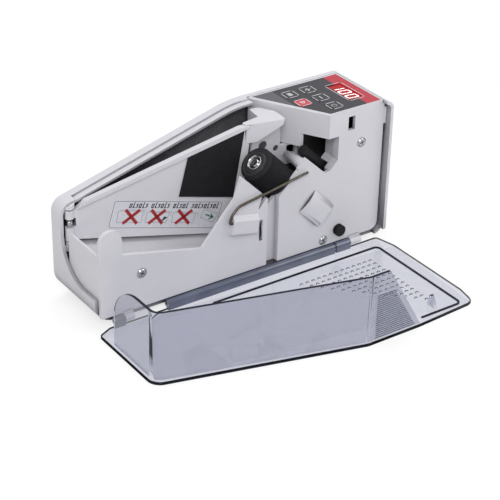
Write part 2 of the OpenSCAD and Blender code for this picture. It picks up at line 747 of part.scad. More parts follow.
// White guide plate behind the feed roller, with the sensor holes and a small window
module guide_plate() color("gainsboro") place() difference() {
    union() {
        front_slab(guide_y, guide_y + guide_t) polygon([[guide_left, handle_low - 2.2],
            [guide_left, guide_low], [guide_right, guide_low], [guide_right, skirt_back_low - gap],
            [guide_step, skirt_back_low - gap], [guide_step, handle_low + 9],
            [guide_left + 20, handle_low + 9]]);
        // rib along its right edge
        translate([guide_right - 1.4, guide_y - 1.5, guide_low])
            cube([1.4, 1.5 + eps, skirt_back_low - gap - guide_low]);
    }
    for (i = [0, 1]) translate([sensor_at[i][0], guide_y - 1, sensor_at[i][1]]) rotate([-90, 0, 0])
        cylinder(h = guide_t + 2, r = sensor_r[i]);
    // small window beside the skirt
    translate([guide_right - 10.4, guide_y - 1, skirt_back_low - 8.5]) cube([7.3, guide_t + 2, 6.5]);
    skirt_slot();
}
guide_left = groove_x + 5;
guide_right = groove_x + 43;
guide_step = groove_x + 27.4;
guide_low = case_h - 42.5;
guide_top = case_h - 16.5;
handle_low = case_h - 17.5;

// Slot that clears the skirt of the control cap
module skirt_slot() flat_slab(skirt_back_low - gap, case_h) slant_strip(-gap, wall + gap);

// Drive frame: a plate behind the exit roller and the cheeks that carry the shafts and the motor
module drive_frame() color("#2a2a2c") place() difference() {
    union() {
        front_slab(guide_y, guide_y + guide_t) polygon([[guide_left, guide_low - 0.2],
            at(-9, cheek_low_d + cheek_t / 2), at(exit_n + 7, cheek_low_d + cheek_t / 2),
            [panel_right - 10, case_h - 44.5], [panel_right - 10, guide_top], [guide_right + 0.2, guide_top],
            [guide_right + 0.2, guide_low - 0.2]]);
        shaft_box(-7, 11, cheek_top_d, cheek_top_d + cheek_t, front_t, guide_y);
        shaft_box(-7, -5, cheek_top_d, cheek_top_d + cheek_t, front_t, guide_y + guide_t);
        shaft_box(-10, exit_n + 8, cheek_low_d, cheek_low_d + cheek_t, front_t, back_in);
        on_shaft(exit_n, exit_y, cheek_low_d) cylinder(h = 2 * cheek_t, r = bearing_r + 1.2);
    }
    for (b = bearings) on_shaft(b[0], b[1], b[2] - 1) cylinder(h = b[3] + 2, r = bearing_r);
    on_shaft(motor_n, motor_y, cheek_low_d - 1) cylinder(h = cheek_t + 2, r = 3 + running);
    translate([screws_at[0][0], guide_y - 1, screws_at[0][1]]) rotate([-90, 0, 0])
        cylinder(h = guide_t + 2, r = boss_r + 0.3);
    skirt_slot();
}

module note_sensors() color("black") place() for (i = [0, 1])
    translate([sensor_at[i][0], guide_y + 0.8, sensor_at[i][1]]) rotate([-90, 0, 0]) {
        cylinder(h = guide_t - 0.8, r = sensor_r[i]);
        translate([0, 0, guide_t - 0.8]) cylinder(h = 4, r = sensor_r[i] + 0.8);
    }

// ---- controls ----

// The slanted edge of the cap, moved inwards by in
module slant_strip(a, b) translate([cap_left_front, 0]) rotate(cap_lean) translate([a, -10])
    square([b - a, 80]);
module on_slant() translate([cap_left_front, 0, 0]) rotate([0, 0, cap_lean]) children();
module cap_outline(edge = 0) offset(delta = -edge) polygon([[cap_left_back, cap_back], [cap_right, cap_back],
    [cap_right, 0], [cap_left_front, 0]]);

module membrane_outline() offset(delta = -membrane_edge)
    polygon([[cap_left_back, cap_back], [cap_right, cap_back],
        [cap_right, membrane_front - membrane_edge], [cap_left_front, membrane_front - membrane_edge]]);

module key_places() for (k = key_grid)
    translate([key_x + k[0] * key_pitch, key_y - k[1] * key_pitch]) children();
key_grid = [[0, 0], [1, 0], [1, 1], [1, 2], [0, 1]];

module key_outline(grow = 0) offset(delta = grow) rounded(1.6) square(key_w, center = true);
module display_outline(grow = 0) translate(display_at) offset(delta = grow)
    square([display_w, display_l], center = true);

module control_cap() color("gainsboro") place() difference() {
    union() {
        flat_slab(panel_top, case_h) cap_outline();
        // slanted skirt, lower towards the back
        intersection() {
            flat_slab(0, panel_top + 2 * eps) slant_strip(0, wall);
            union() {
                flat_slab(skirt_low, case_h) translate([0, eps]) square([big, skirt_step_y]);
                flat_slab(skirt_back_low, case_h) translate([0, skirt_step_y])
                    square([big, cap_back - skirt_end - skirt_step_y]);
            }
        }
        // posts of the circuit board
        for (p = board_posts) translate([p[0], p[1], board_z + board_t])
            cylinder(h = panel_top - board_z - board_t + eps, r = 2);
    }
    flat_slab(case_h - membrane_t, case_h + 1) membrane_outline();
    flat_slab(panel_top - 1, case_h) key_places() key_outline(0.3);
    flat_slab(panel_top - 1, case_h) display_outline(0.3);
    // bevel along the slanted edge
    on_slant() front_slab(-10, 70) polygon([[-1, case_h - cap_bevel - 1], [cap_bevel + 1, case_h + 1],
        [-1, case_h + 1]]);
}
board_posts = [[case_l - 56, 46], [case_l - 29, 46], [case_l - 29, 5.5]];

module control_membrane() color("#47464c") place() flat_slab(case_h - membrane_t, case_h) difference() {
    offset(delta = -0.05) membrane_outline();
    key_places() key_outline(0.2);
    display_outline(-0.4);
}

module display_window() color("#c01028") place() flat_slab(case_h - membrane_t - 1, case_h - membrane_t)
    display_outline();

module display_module() color("black") place()
    flat_slab(board_z + board_t, case_h - membrane_t - 1) display_outline(-0.2);

module control_board() color("green") place() difference() {
    flat_slab(board_z, board_z + board_t) cap_outline(wall + 4);
    translate([0, 0, board_z - 1]) for (p = board_posts) translate([p[0], p[1], 0]) cylinder(h = 4, r = 0.9);
}

module key_switches() color("dimgray") place() key_places() flat_slab(board_z + board_t, switch_top)
    square(6, center = true);
switch_top = case_h - key_h - key_travel - 0.1;

module key(i) place() translate([key_x + key_grid[i][0] * key_pitch, key_y - key_grid[i][1] * key_pitch, 0]) {
    flat_slab(panel_top, case_h + 0.2) key_outline();
    flat_slab(case_h - key_h, panel_top) square(5, center = true);
}
module key_mode() color("#47464c") key(0);
module key_up() color("#47464c") key(1);
module key_down() color("#47464c") key(2);
module key_set() color("#47464c") key(3);
module key_start() color("#bf4f5a") key(4);

// ---- guide wire ----

bracket_at = [groove_x - 19.1, 45.6];
bracket_size = [20, 13];
bracket_tilt = 12;
bracket_reach = 4.2;
wire_r = 0.9;
wire_y = -2.4;
wire_drop = 1.4;

// Moves children to the bracket's frame: x along its tilt, z across it
module on_bracket() translate([bracket_at[0], 0, bracket_at[1]]) rotate([0, bracket_tilt, 0]) children();

module wire_bracket() color("gainsboro") place() on_bracket() difference() {
    translate([bracket_size[0] / 2, 0, 0]) rotate([0, -90, 0]) linear_extrude(bracket_size[0])
        polygon([[-bracket_size[1] / 2, 0], [-bracket_size[1] / 2, -bracket_reach + 0.8],
            [-bracket_size[1] / 2 + 0.8, -bracket_reach], [bracket_size[1] / 2 - 3, -bracket_reach],
            [bracket_size[1] / 2, -bracket_reach + 3], [bracket_size[1] / 2, 0]]);
    translate([-bracket_size[0] / 2 - 1, wire_y, wire_drop]) rotate([0, 90, 0])
        cylinder(h = bracket_size[0] - 2, r = wire_r + running);
}

// Bent spring wire: its foot turns in the bracket and its arm lies across the feed roller
module wire_run(points) for (i = [0:len(points) - 2]) {
    v = points[i + 1] - points[i];
    translate(points[i]) rotate([0, acos(v[2] / norm(v)), atan2(v[1], v[0])])
        cylinder(h = norm(v), r = wire_r);
    translate(points[i + 1]) sphere(wire_r * 1.06);
}
module guide_wire() color("#6f6a62") place() on_bracket() wire_run([
    [bracket_size[0] / 2 - 6, wire_y, wire_drop], [-bracket_size[0] / 2 - 2.2, wire_y, wire_drop],
    [-bracket_size[0] / 2 - 1.6, wire_y, wire_drop + 6], wire_bend, wire_tip]);
wire_bend = [-7.8, wire_y, 12.9];
wire_tip = [42.6, wire_y, 33.4];

// Springy metal strip that stands in its slot beside the bracket
module guide_leaf() color("silver") place() {
    side_slab(leaf_x - 0.3, leaf_x + 0.3) polygon([[-1.6, leaf_z + 7], [-0.8, leaf_z + 12],
        [front_t + 2, leaf_z + 12], [front_t + 2, leaf_z + 1.4], [-0.4, leaf_z + 1.4]]);
    translate([leaf_x - 0.9, front_t, leaf_z + 2]) cube([1.8, 2, leaf_h - 4]);
}

// ---- power ----

jack_r = 4;
module battery_door() color("gainsboro") place() difference() {
    translate([door_x[0] - door_lip + 0.2, case_d - door_t + 0.05, door_z[0] - door_lip / 2 + 0.2])
        cube([door_x[1] - door_x[0] + 2 * door_lip - 0.4, door_t - 0.05,
            door_z[1] - door_z[0] + 1.5 * door_lip - 0.4]);
    // finger grooves
    for (i = [0:4]) translate([door_x[1] - 12 + i * 2, case_d, door_z[0] + 2])
        cylinder(h = door_z[1] - door_z[0] - 4, r = 0.5);
}

module battery_cells() color("slategray") place()
    for (i = [0, 1]) for (j = [0, 1])
        translate([cells_x + i * (cell_l + 0.4), cells_y - j * (2 * cell_r + 0.4), cells_z])
            rotate([0, 90, 0]) {
            cylinder(h = cell_l - 1, r = cell_r);
            cylinder(h = cell_l, r = 2.6);
        }

module battery_contacts() color("silver") place() for (j = [0, 1])
    translate([0, cells_y - j * (2 * cell_r + 0.4), 0]) {
        translate([cells_x - 2, -5, contact_z]) cube([0.5, 10, 12]);
        translate([cells_x - 1.5, 0, cells_z]) rotate([0, 90, 0]) ring_tube(1.5, 3, 2.4);
        translate([cells_x - 1.6, -5, contact_z]) cube([1.5, 10, 0.5]);
        translate([cells_x + 2 * cell_l + 0.4, -5, contact_z]) cube([0.5, 10, 12]);
        translate([cells_x + 2 * cell_l + 0.8, -5, contact_z]) cube([4, 10, 0.6]);
    }
contact_z = case_low + wall + 0.1;

module dc_jack() color("black") place() translate([jack_at[0], 0, jack_at[1]]) {
    difference() {
        union() {
            translate([-4.6, back_in - 12, -4.6]) cube([9.2, 12, 9.2]);
            translate([0, back_in - 1, 0]) rotate([-90, 0, 0]) cylinder(h = wall + 1, r = jack_r);
        }
        translate([0, back_in - 9, 0]) rotate([-90, 0, 0]) cylinder(h = 20, r = 2.9);
    }
    translate([0, back_in - 9.5, 0]) rotate([-90, 0, 0]) cylinder(h = 9, r = 1);
}

// ---- lid ----

lid_bend = [bend_x, -lid_reach];
lid_notch_x = case_l - 47;
lid_notch = 2.5;
lid_front = -lid_reach + lid_notch;

module lid_outline() intersection() {
    rounded(3) polygon([[lid_left, -5], [lid_left, -hood_start], lid_bend, [lid_notch_x - 3, -lid_reach],
        [lid_notch_x, lid_front], [lid_right - 7.5, lid_front], [lid_right - 3.6, lid_front + 1.6],
        [lid_right - 2, lid_front + 5.5], [lid_right - 2, lid_front + 13.5], [lid_right, lid_front + 14.5],
        [lid_right, -14], [lid_right - 3, -13], [lid_right - 3, hinge_y + 0.5], [8, hinge_y + 0.5]]);
    rounded(9) polygon([[lid_left, big], [lid_left, -hood_start], lid_bend, [big, -lid_reach], [big, big]]);
}
hood_start = 67;

module hood_outline(inset = 0) offset(delta = -inset) rounded(8) polygon([[hood_left, 40],
    [hood_left, -hood_start + 1.4], lid_bend + [0, 0.8], [big / 2, -lid_reach + 0.8], [big / 2, 40]]);

// The slanted end of the hood, which closes against the control cap, seen along Y
module hood_end() polygon([[-20, -1], [cap_left_front - 1, -1], [cap_left_front - 1, lid_t],
    [cap_left_front - 1 - (hood_h - lid_t) * tan(cap_lean), hood_h], [-20, hood_h]]);

// The left end of the hood, seen along X, follows the open side of the case
module hood_side() {
    top = min(hood_h, sweep_y - gap + hinge_z - hinge_y);
    start = sweep_z + hood_gap - hinge_z - hinge_y;
    r = sweep_r;
    translate([-big, -1]) square([big - start - r, top + 1]);
    translate([-big, -1]) square([big - start, top + 1 - r]);
    translate([-start - r, top - r]) circle(r, $fn = 72);
}

hood_gap = 2.6;

// Rib that frames the right part of the lid on three sides
module lid_rib() flat_slab(lid_t - eps, lid_t + 0.8) difference() {
    rounded(4) rib_square();
    rounded(3) offset(delta = -rib_w) rib_square();
    translate([-big / 2, -big / 2]) square([big / 2 + 77, big]);
    translate([-big / 2, lid_front - 1]) square([big / 2 + lid_notch_x + 2, lid_reach - 20]);
}
module rib_square() translate([0, lid_front + 2]) square([case_l - 12, -lid_front - 13.3]);
rib_w = 1.3;

module lid_knuckle(x0, x1) {
    translate([x0, hinge_y, hinge_z]) rotate([0, 90, 0]) cylinder(h = x1 - x0, r = barrel_d / 2);
    translate([x0, hinge_y - barrel_d / 2, lid_t / 2]) cube([x1 - x0, barrel_d / 2, hinge_z - lid_t / 2]);
}
lid_knuckles = [[11, 19], [barrel_x, case_l - 42], [case_l - 40.5, case_l - 29]];

module lid() color("lightslategray", 0.6) place() difference() {
    union() {
        hull() {
            flat_slab(0, eps) offset(delta = -0.6) lid_outline();
            flat_slab(0.6, lid_t) lid_outline();
        }
        intersection() {
            flat_slab(lid_t - eps, hood_h) difference() {
                hood_outline();
                hood_outline(hood_wall);
            }
            front_slab(-big, 0) hood_end();
            side_slab(-20, big) hood_side();
        }
        lid_rib();
        for (k = lid_knuckles) lid_knuckle(k[0], k[1]);
        // catch that snaps into the latch slot
        side_slab(latch_x - 1.3, latch_x + 1.3) polygon([[catch_y - 4, lid_t - eps],
            [catch_y + 3, lid_t - eps], [catch_y + 1.4, catch_h], [catch_y - 0.2, catch_h]]);
    }
    translate([-20, hinge_y, hinge_z]) rotate([0, 90, 0]) cylinder(h = big, r = hinge_r + running);
}
catch_y = -(latch_z - hinge_z - hinge_y) - 0.6;
catch_h = hinge_z - hinge_y + front_t + 0.6;

// Fine horizontal ribs of the finger grip on the hood
module lid_grip() color("lightslategray", 0.6) place() intersection() {
    for (i = [0:grip_ribs - 1]) translate([bend_x + 5, -lid_reach, lid_t + 2 + i * grip_pitch])
        cube([40, 0.8, grip_pitch / 2]);
    front_slab(-big, 0) offset(delta = -3.4) hood_end();
}
grip_ribs = 21;
grip_pitch = 1.5;

right_pin_x = case_l - 52;
module hinge_pin_right() color("silver") place() translate([right_pin_x, hinge_y, hinge_z]) rotate([0, 90, 0])
    cylinder(h = right_knuckle[1] - right_pin_x, r = hinge_r);
module hinge_pin_left() color("silver") place() translate([lid_knuckles[0][0] + 1, hinge_y, hinge_z])
    rotate([0, 90, 0]) cylinder(h = left_knuckle[1] - lid_knuckles[0][0] - 1, r = hinge_r);

rear_shell();
front_panel();
hopper_wall();
hopper_floor();
guide_plate();
drive_frame();
control_cap();
control_membrane();
display_window();
display_module();
control_board();
key_switches();
key_mode();
key_up();
key_down();
key_set();
key_start();
presser_plate();
presser_pad();
presser_label();
presser_spring();
presser_pin();
feed_tyre();
feed_hub();
feed_screw();
feed_shaft();
feed_pulley();
exit_roller();
exit_shaft();
exit_pulley();
shaft_bearings();
motor_body();
motor_shaft();
motor_pulley();
drive_belt();
transfer_belt();
note_sensors();
guide_wire();
wire_bracket();
guide_leaf();
rubber_stud();
panel_screws();
rubber_feet();
battery_door();
battery_cells();
battery_contacts();
dc_jack();
lid();
lid_grip();
hinge_pin_left();
hinge_pin_right();
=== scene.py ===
import json
import math

import bmesh
import bpy
from mathutils import Matrix, Vector


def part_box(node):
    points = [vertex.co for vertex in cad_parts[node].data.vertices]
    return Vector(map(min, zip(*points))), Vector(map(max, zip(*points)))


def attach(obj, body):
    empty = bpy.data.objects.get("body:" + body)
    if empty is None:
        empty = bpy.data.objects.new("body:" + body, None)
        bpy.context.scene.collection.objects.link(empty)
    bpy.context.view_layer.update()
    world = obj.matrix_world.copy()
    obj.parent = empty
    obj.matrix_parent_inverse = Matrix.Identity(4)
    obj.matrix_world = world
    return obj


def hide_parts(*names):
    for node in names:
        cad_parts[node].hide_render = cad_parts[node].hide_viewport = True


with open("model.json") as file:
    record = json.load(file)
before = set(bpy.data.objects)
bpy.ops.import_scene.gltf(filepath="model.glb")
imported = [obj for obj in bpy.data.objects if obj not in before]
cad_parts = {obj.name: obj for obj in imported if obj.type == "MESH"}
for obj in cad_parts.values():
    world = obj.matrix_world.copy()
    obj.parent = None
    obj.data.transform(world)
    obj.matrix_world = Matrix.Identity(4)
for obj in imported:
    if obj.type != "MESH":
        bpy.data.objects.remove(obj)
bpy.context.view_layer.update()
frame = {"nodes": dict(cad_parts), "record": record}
print("frame loaded:", len(frame["nodes"]), "nodes")

# The machine's own frame: X from the left end of the case, Y from its front face, Z from the table, in mm
mm = 0.001
caseDepth = 54.5
shellLow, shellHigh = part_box("rear_shell")
machine = Matrix.Translation((shellLow.x, shellHigh.y - caseDepth * mm, 0)) @ Matrix.Scale(mm, 4)
toMachine = machine.inverted()


def tint(red, green, blue):
    # a colour given as it looks on a screen, 0 to 255, as Blender's linear numbers
    def linear(value):
        share = value / 255
        return share / 12.92 if share <= 0.04045 else ((share + 0.055) / 1.055) ** 2.4

    return (linear(red), linear(green), linear(blue), 1)


class Finish:
    # a material with its node tree, and short ways to add and wire its nodes
    def __init__(self, name):
        self.material = bpy.data.materials.new(name)
        self.material.use_nodes = True
        self.tree = self.material.node_tree
        self.shader = self.tree.nodes["Principled BSDF"]
        self.output = self.tree.nodes["Material Output"]
        self.coords = self.add("TexCoord").outputs["Object"]

    def add(self, kind, **settings):
        node = self.tree.nodes.new("ShaderNode" + kind)
        for key, value in settings.items():
            setattr(node, key, value)
        return node

    def wire(self, source, target):
        self.tree.links.new(source, target)

    def fix(self, **values):
        # sets sockets of the shader that are the same all over
        for key, value in values.items():
            self.shader.inputs[key.replace("_", " ")].default_value = value

    def noise(self, scale, detail=2.0, stretch=(1, 1, 1)):
        # fractal noise on the object's own coordinates, stretched along an axis where asked
        mapping = self.add("Mapping")
        mapping.inputs["Scale"].default_value = stretch
        grain = self.add("TexNoise")
        grain.inputs["Scale"].default_value = scale
        grain.inputs["Detail"].default_value = detail
        self.wire(self.coords, mapping.inputs["Vector"])
        self.wire(mapping.outputs["Vector"], grain.inputs["Vector"])
        return grain.outputs["Fac"]

    def spread(self, source, low, high, start=0.3, end=0.7):
        # turns a 0 to 1 pattern into numbers from low to high
        span = self.add("MapRange")
        for key, value in (("From Min", start), ("From Max", end), ("To Min", low), ("To Max", high)):
            span.inputs[key].default_value = value
        self.wire(source, span.inputs["Value"])
        return span.outputs["Result"]

    def blend(self, factor, first, second):
        # mixes two colours, each a colour or a socket
        mix = self.add("Mix", data_type="RGBA")
        self.wire(factor, mix.inputs["Factor"])
        for socket, colour in ((mix.inputs[6], first), (mix.inputs[7], second)):
            if hasattr(colour, "is_linked"):
                self.wire(colour, socket)
            else:
                socket.default_value = colour
        return mix.outputs[2]

    def openness(self, reach, start, end, own):
        # how open a spot is, for painting shade into recesses: 0 deep in a recess to 1 on an open face; own
        # set to True counts the piece's own walls alone
        near = self.add("AmbientOcclusion", samples=6, only_local=own)
        near.inputs["Distance"].default_value = reach
        return self.spread(near.outputs["AO"], 0, 1, start, end)

    def relief(self, height, depth, strength=1.0):
        # a bump of that depth in metres
        bump = self.add("Bump")
        bump.inputs["Strength"].default_value = strength
        bump.inputs["Distance"].default_value = depth
        self.wire(height, bump.inputs["Height"])
        self.wire(bump.outputs["Normal"], self.shader.inputs["Normal"])


plasticLook = {"flow": 28, "gloss": 160}


def mouldedPlastic(name, colour, shade, rough, grainSize, grainDepth, paintedRecessShade=None):
    # satin moulding: a spark-eroded grain, with faint flow marks in its colour and gloss, and where asked,
    # painted shade that darkens it in its recesses
    finish = Finish(name)
    flow = finish.noise(plasticLook["flow"], 3)
    look = finish.blend(finish.spread(flow, 0, 1), colour, shade)
    # painted shade: the colour goes towards a dark one where the surface is shut in by walls
    if paintedRecessShade:
        clear = finish.openness(paintedRecessShade["reach"], paintedRecessShade["start"], paintedRecessShade["end"], paintedRecessShade["own"])
        look = finish.blend(clear, paintedRecessShade["colour"], look)
    finish.wire(look, finish.shader.inputs["Base Color"])
    gloss = finish.noise(plasticLook["gloss"], 4)
    finish.wire(finish.spread(gloss, *rough), finish.shader.inputs["Roughness"])
    finish.relief(finish.noise(1 / grainSize, 2), grainDepth)
    return finish


rubberLook = {"bloom": 210, "gloss": 600, "grain": 1900, "shine": 0.22}


def rubber(name, colour, shade, rough, grainDepth):
    # dull rubber with a fine bloom
    finish = Finish(name)
    bloom = finish.spread(finish.noise(rubberLook["bloom"], 5), 0, 1)
    finish.wire(finish.blend(bloom, colour, shade), finish.shader.inputs["Base Color"])
    gloss = finish.noise(rubberLook["gloss"], 3)
    finish.wire(finish.spread(gloss, *rough), finish.shader.inputs["Roughness"])
    finish.fix(Specular_IOR_Level=rubberLook["shine"])
    finish.relief(finish.noise(rubberLook["grain"], 3), grainDepth)
    return finish


metalMarks = 900


def metal(name, colour, shade, rough, stretch, grainDepth):
    # bare metal, with drawing or rolling marks along one axis
    finish = Finish(name)
    finish.fix(Metallic=1.0)
    marks = finish.noise(metalMarks, 4, stretch)
    finish.wire(finish.blend(finish.spread(marks, 0, 1), colour, shade), finish.shader.inputs["Base Color"])
    finish.wire(finish.spread(marks, *rough), finish.shader.inputs["Roughness"])
    finish.relief(marks, grainDepth)
    return finish


inkLook = {"mottle": 700, "gloss": 400, "rough": (0.4, 0.55)}


def printedInk(name, colour, shade):
    # a matt printed line, a little uneven
    finish = Finish(name)
    mottle = finish.spread(finish.noise(inkLook["mottle"], 3), 0, 1)
    finish.wire(finish.blend(mottle, colour, shade), finish.shader.inputs["Base Color"])
    gloss = finish.noise(inkLook["gloss"])
    finish.wire(finish.spread(gloss, *inkLook["rough"]), finish.shader.inputs["Roughness"])
    return finish


litLook = {"mottle": 420, "roughness": 0.3, "shine": 0.15}


def litColour(name, colour, glow, strength):
    # a lit face of the display
    finish = Finish(name)
    finish.fix(
        Roughness=litLook["roughness"],
        Emission_Strength=strength,
        Specular_IOR_Level=litLook["shine"],
    )
    mottle = finish.spread(finish.noise(litLook["mottle"], 2), 0, 1)
    finish.wire(finish.blend(mottle, colour, glow), finish.shader.inputs["Base Color"])
    finish.wire(finish.blend(mottle, glow, colour), finish.shader.inputs["Emission Color"])
    return finish


membraneLook = {
    "charcoal": tint(48, 47, 53),
    "lightGrey": tint(88, 87, 93),
    "red": tint(180, 50, 64),
    "greyEdge": 162.0,  # the lighter corner ends here, in mm from the left end
    "redEdge": 203.8,  # the red band starts here
    "gloss": 900,
    "rough": (0.42, 0.52),
    "shine": 0.3,
    "grain": 3000,
    "grainDepth": 0.00001,
}


def printedMembrane():
    # satin film printed in charcoal, with a lighter corner at the left and a red band at the right
    finish = Finish("keypadFilm")
    look = membraneLook
    split = finish.add("SeparateXYZ")
    finish.wire(finish.coords, split.inputs["Vector"])
    colour = look["charcoal"]
    for edge, ink, way in (("greyEdge", "lightGrey", "LESS_THAN"), ("redEdge", "red", "GREATER_THAN")):
        side = finish.add("Math", operation=way)
        side.inputs[1].default_value = (machine @ Vector((look[edge], 0, 0))).x
        finish.wire(split.outputs["X"], side.inputs[0])
        colour = finish.blend(side.outputs["Value"], colour, look[ink])
    finish.wire(colour, finish.shader.inputs["Base Color"])
    gloss = finish.spread(finish.noise(look["gloss"], 3), *look["rough"])
    finish.wire(gloss, finish.shader.inputs["Roughness"])
    finish.fix(Specular_IOR_Level=look["shine"])
    finish.relief(finish.noise(look["grain"], 2), look["grainDepth"])
    return finish


lidLook = {
    "tint": tint(213, 214, 223),
    "shadow": tint(200, 202, 210),
    "gloss": 60,
    "rough": (0.018, 0.03),
    "bend": 1.49,
    "absorb": tint(132, 138, 168),
    "density": 68.0,
    "waves": 38,
    "waveDepth": 0.00003,
    "waveShare": 0.06,
}


def smokyClear():
    # smoky clear acrylic: glass for the eye, a tinted pane for the lamps
    finish = Finish("smokyClear")
    look = lidLook
    finish.fix(Transmission_Weight=1.0, IOR=look["bend"], Base_Color=look["tint"])
    gloss = finish.spread(finish.noise(look["gloss"], 3), *look["rough"])
    finish.wire(gloss, finish.shader.inputs["Roughness"])
    finish.relief(finish.noise(look["waves"], 2), look["waveDepth"], look["waveShare"])
    paths = finish.add("LightPath")
    pane = finish.add("BsdfTransparent")
    pane.inputs["Color"].default_value = look["shadow"]
    swap = finish.add("MixShader")
    finish.wire(paths.outputs["Is Shadow Ray"], swap.inputs["Fac"])
    finish.wire(finish.shader.outputs["BSDF"], swap.inputs[1])
    finish.wire(pane.outputs["BSDF"], swap.inputs[2])
    finish.wire(swap.outputs["Shader"], finish.output.inputs["Surface"])
    absorb = finish.add("VolumeAbsorption")
    absorb.inputs["Color"].default_value = look["absorb"]
    absorb.inputs["Density"].default_value = look["density"]
    finish.wire(absorb.outputs["Volume"], finish.output.inputs["Volume"])
    return finish


darkLook = {
    "cloud": 55,
    "gloss": 90,
    "coatRough": 0.05,
    "shine": 0.5,  # under a full coat
    "waves": 38,
    "waveDepth": 0.00005,
    "waveShare": 0.3,
}


def smokyDark(name, colour, shade, rough, coat):
    # smoky acrylic seen edge on, where the light has a long way to go through it
    finish = Finish(name)
    look = darkLook
    cloud = finish.spread(finish.noise(look["cloud"], 3), 0, 1)
    finish.wire(finish.blend(cloud, colour, shade), finish.shader.inputs["Base Color"])
    gloss = finish.spread(finish.noise(look["gloss"], 2), *rough)
    finish.wire(gloss, finish.shader.inputs["Roughness"])
    finish.fix(Coat_Weight=coat, Coat_Roughness=look["coatRough"], Specular_IOR_Level=look["shine"] * coat)
    finish.relief(finish.noise(look["waves"], 2), look["waveDepth"], look["waveShare"])
    return finish


smokyRims = smokyDark("smokyRims", tint(20, 22, 30), tint(34, 37, 52), (0.3, 0.4), 0.12)
smokyBarrel = smokyDark("smokyBarrel", tint(84, 91, 114), tint(62, 69, 92), (0.06, 0.12), 1.0)
lensFinish = smokyDark("sensorLens", tint(84, 84, 88), tint(70, 70, 75), (0.3, 0.4), 0.5)

# The case: one plastic, with painted shade darkening its recesses, and darker painted shade deep inside the
# rear shell
caseLook = {
    "colour": tint(212, 211, 217),
    "shade": tint(207, 206, 212),
    "rough": (0.4, 0.5),
    "grainSize": 0.0004,
    "grainDepth": 0.00001,
}
recessShade = {"reach": 0.034, "start": 0.2, "end": 0.74, "own": True, "colour": tint(54, 54, 58)}
deepShade = {"reach": 0.045, "start": 0.25, "end": 0.8, "own": False, "colour": tint(30, 30, 34)}

finishes = {
    "case_plastic": mouldedPlastic("paleCasePlastic", **caseLook, paintedRecessShade=recessShade),
    "floor_gloss": mouldedPlastic(
        "polishedFloor", tint(206, 206, 212), tint(200, 200, 206), (0.05, 0.09), 0.002, 0.000002
    ),
    "black_plastic": mouldedPlastic(
        "blackPlastic", tint(38, 38, 40), tint(31, 31, 33), (0.4, 0.55), 0.0005, 0.00002
    ),
    "membrane": printedMembrane(),
    "display_red": litColour("displayRed", tint(138, 0, 10), tint(160, 0, 14), 0.36),
    "circuit_board": mouldedPlastic(
        "solderMask", tint(24, 92, 52), tint(18, 76, 44), (0.25, 0.4), 0.001, 0.00002
    ),
    "red_key": mouldedPlastic(
        "redKeyFilm", tint(194, 66, 80), tint(186, 60, 74), (0.4, 0.5), 0.0004, 0.00001
    ),
    "black_rubber": rubber("blackRubber", tint(22, 21, 24), tint(28, 27, 30), (0.55, 0.75), 0.00002),
    "grey_rubber": rubber("greyRubber", tint(74, 74, 76), tint(62, 62, 64), (0.6, 0.8), 0.00003),
    "label_film": mouldedPlastic(
        "labelFilm", tint(216, 216, 222), tint(208, 208, 216), (0.22, 0.3), 0.002, 0.000005
    ),
    "steel": metal("brightSteel", tint(196, 196, 198), tint(170, 170, 174), (0.2, 0.34), (1, 1, 6), 0.00001),
    "chrome": metal("chrome", tint(188, 188, 191), tint(160, 160, 165), (0.1, 0.18), (1, 1, 1), 0.000004),
    "wire_steel": metal("wireSteel", tint(104, 95, 86), tint(72, 66, 60), (0.24, 0.42), (1, 1, 1), 0.00002),
    "bronze": metal("bearingBronze", tint(186, 146, 92), tint(160, 120, 74), (0.35, 0.5), (1, 1, 1), 0.00002),
    "pulley_plastic": mouldedPlastic(
        "acetal", tint(216, 212, 200), tint(208, 203, 190), (0.3, 0.42), 0.001, 0.00001
    ),
    "cell_skin": mouldedPlastic("cellSleeve", tint(74, 84, 96), tint(62, 72, 84), (0.2, 0.3), 0.001, 0.00001),
    "clear_lid": smokyClear(),
}
inks = {
    "dark": printedInk("darkInk", tint(40, 39, 46), tint(52, 51, 58)),
    "red": printedInk("redInk", tint(164, 36, 42), tint(150, 30, 38)),
    "grey": printedInk("greyInk", tint(148, 148, 156), tint(134, 134, 144)),
    "pale": printedInk("paleInk", tint(236, 236, 240), tint(224, 224, 230)),
    "green": printedInk("greenInk", tint(44, 110, 70), tint(38, 98, 60)),
    "digits": litColour("litDigits", tint(255, 236, 238), tint(255, 250, 250), 1.0),
}
finishes["floor_gloss"].fix(Coat_Weight=1.0, Coat_IOR=3.0, Coat_Roughness=0.03)
deepShadedCase = mouldedPlastic("deepShadedCasePlastic", **caseLook, paintedRecessShade=deepShade)
for part in frame["record"]["subparts"]:
    frame["nodes"][part["node"]].material_slots[0].material = finishes[part["material_slot"]].material
print("made", len(finishes), "finishes for the slots and", len(inks), "inks")

slotOf = {part["node"]: part["material_slot"] for part in frame["record"]["subparts"]}
bodyOf = {node: body for body, nodes in frame["record"]["behaviour"]["bodies"].items() for node in nodes}


def place(bm, matrix):
    bmesh.ops.transform(bm, matrix=matrix, verts=bm.verts)


def keep(name, bm, body, slot, finish=None, replaces=(), sharp=32):
    # turns a finished bmesh, already in metres, into a piece that rides on a body
    mesh = bpy.data.meshes.new(name)
    bm.to_mesh(mesh)
    bm.free()
    mesh.materials.append((finish or finishes[slot]).material)
    mesh.shade_smooth()
    mesh.set_sharp_from_angle(angle=math.radians(sharp))
    piece = bpy.data.objects.new(name, mesh)
    bpy.context.scene.collection.objects.link(piece)
    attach(piece, body)
    if replaces:
        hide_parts(*replaces)
    return piece


joining = {"distance": 0.000002, "angle": math.radians(0.6)}


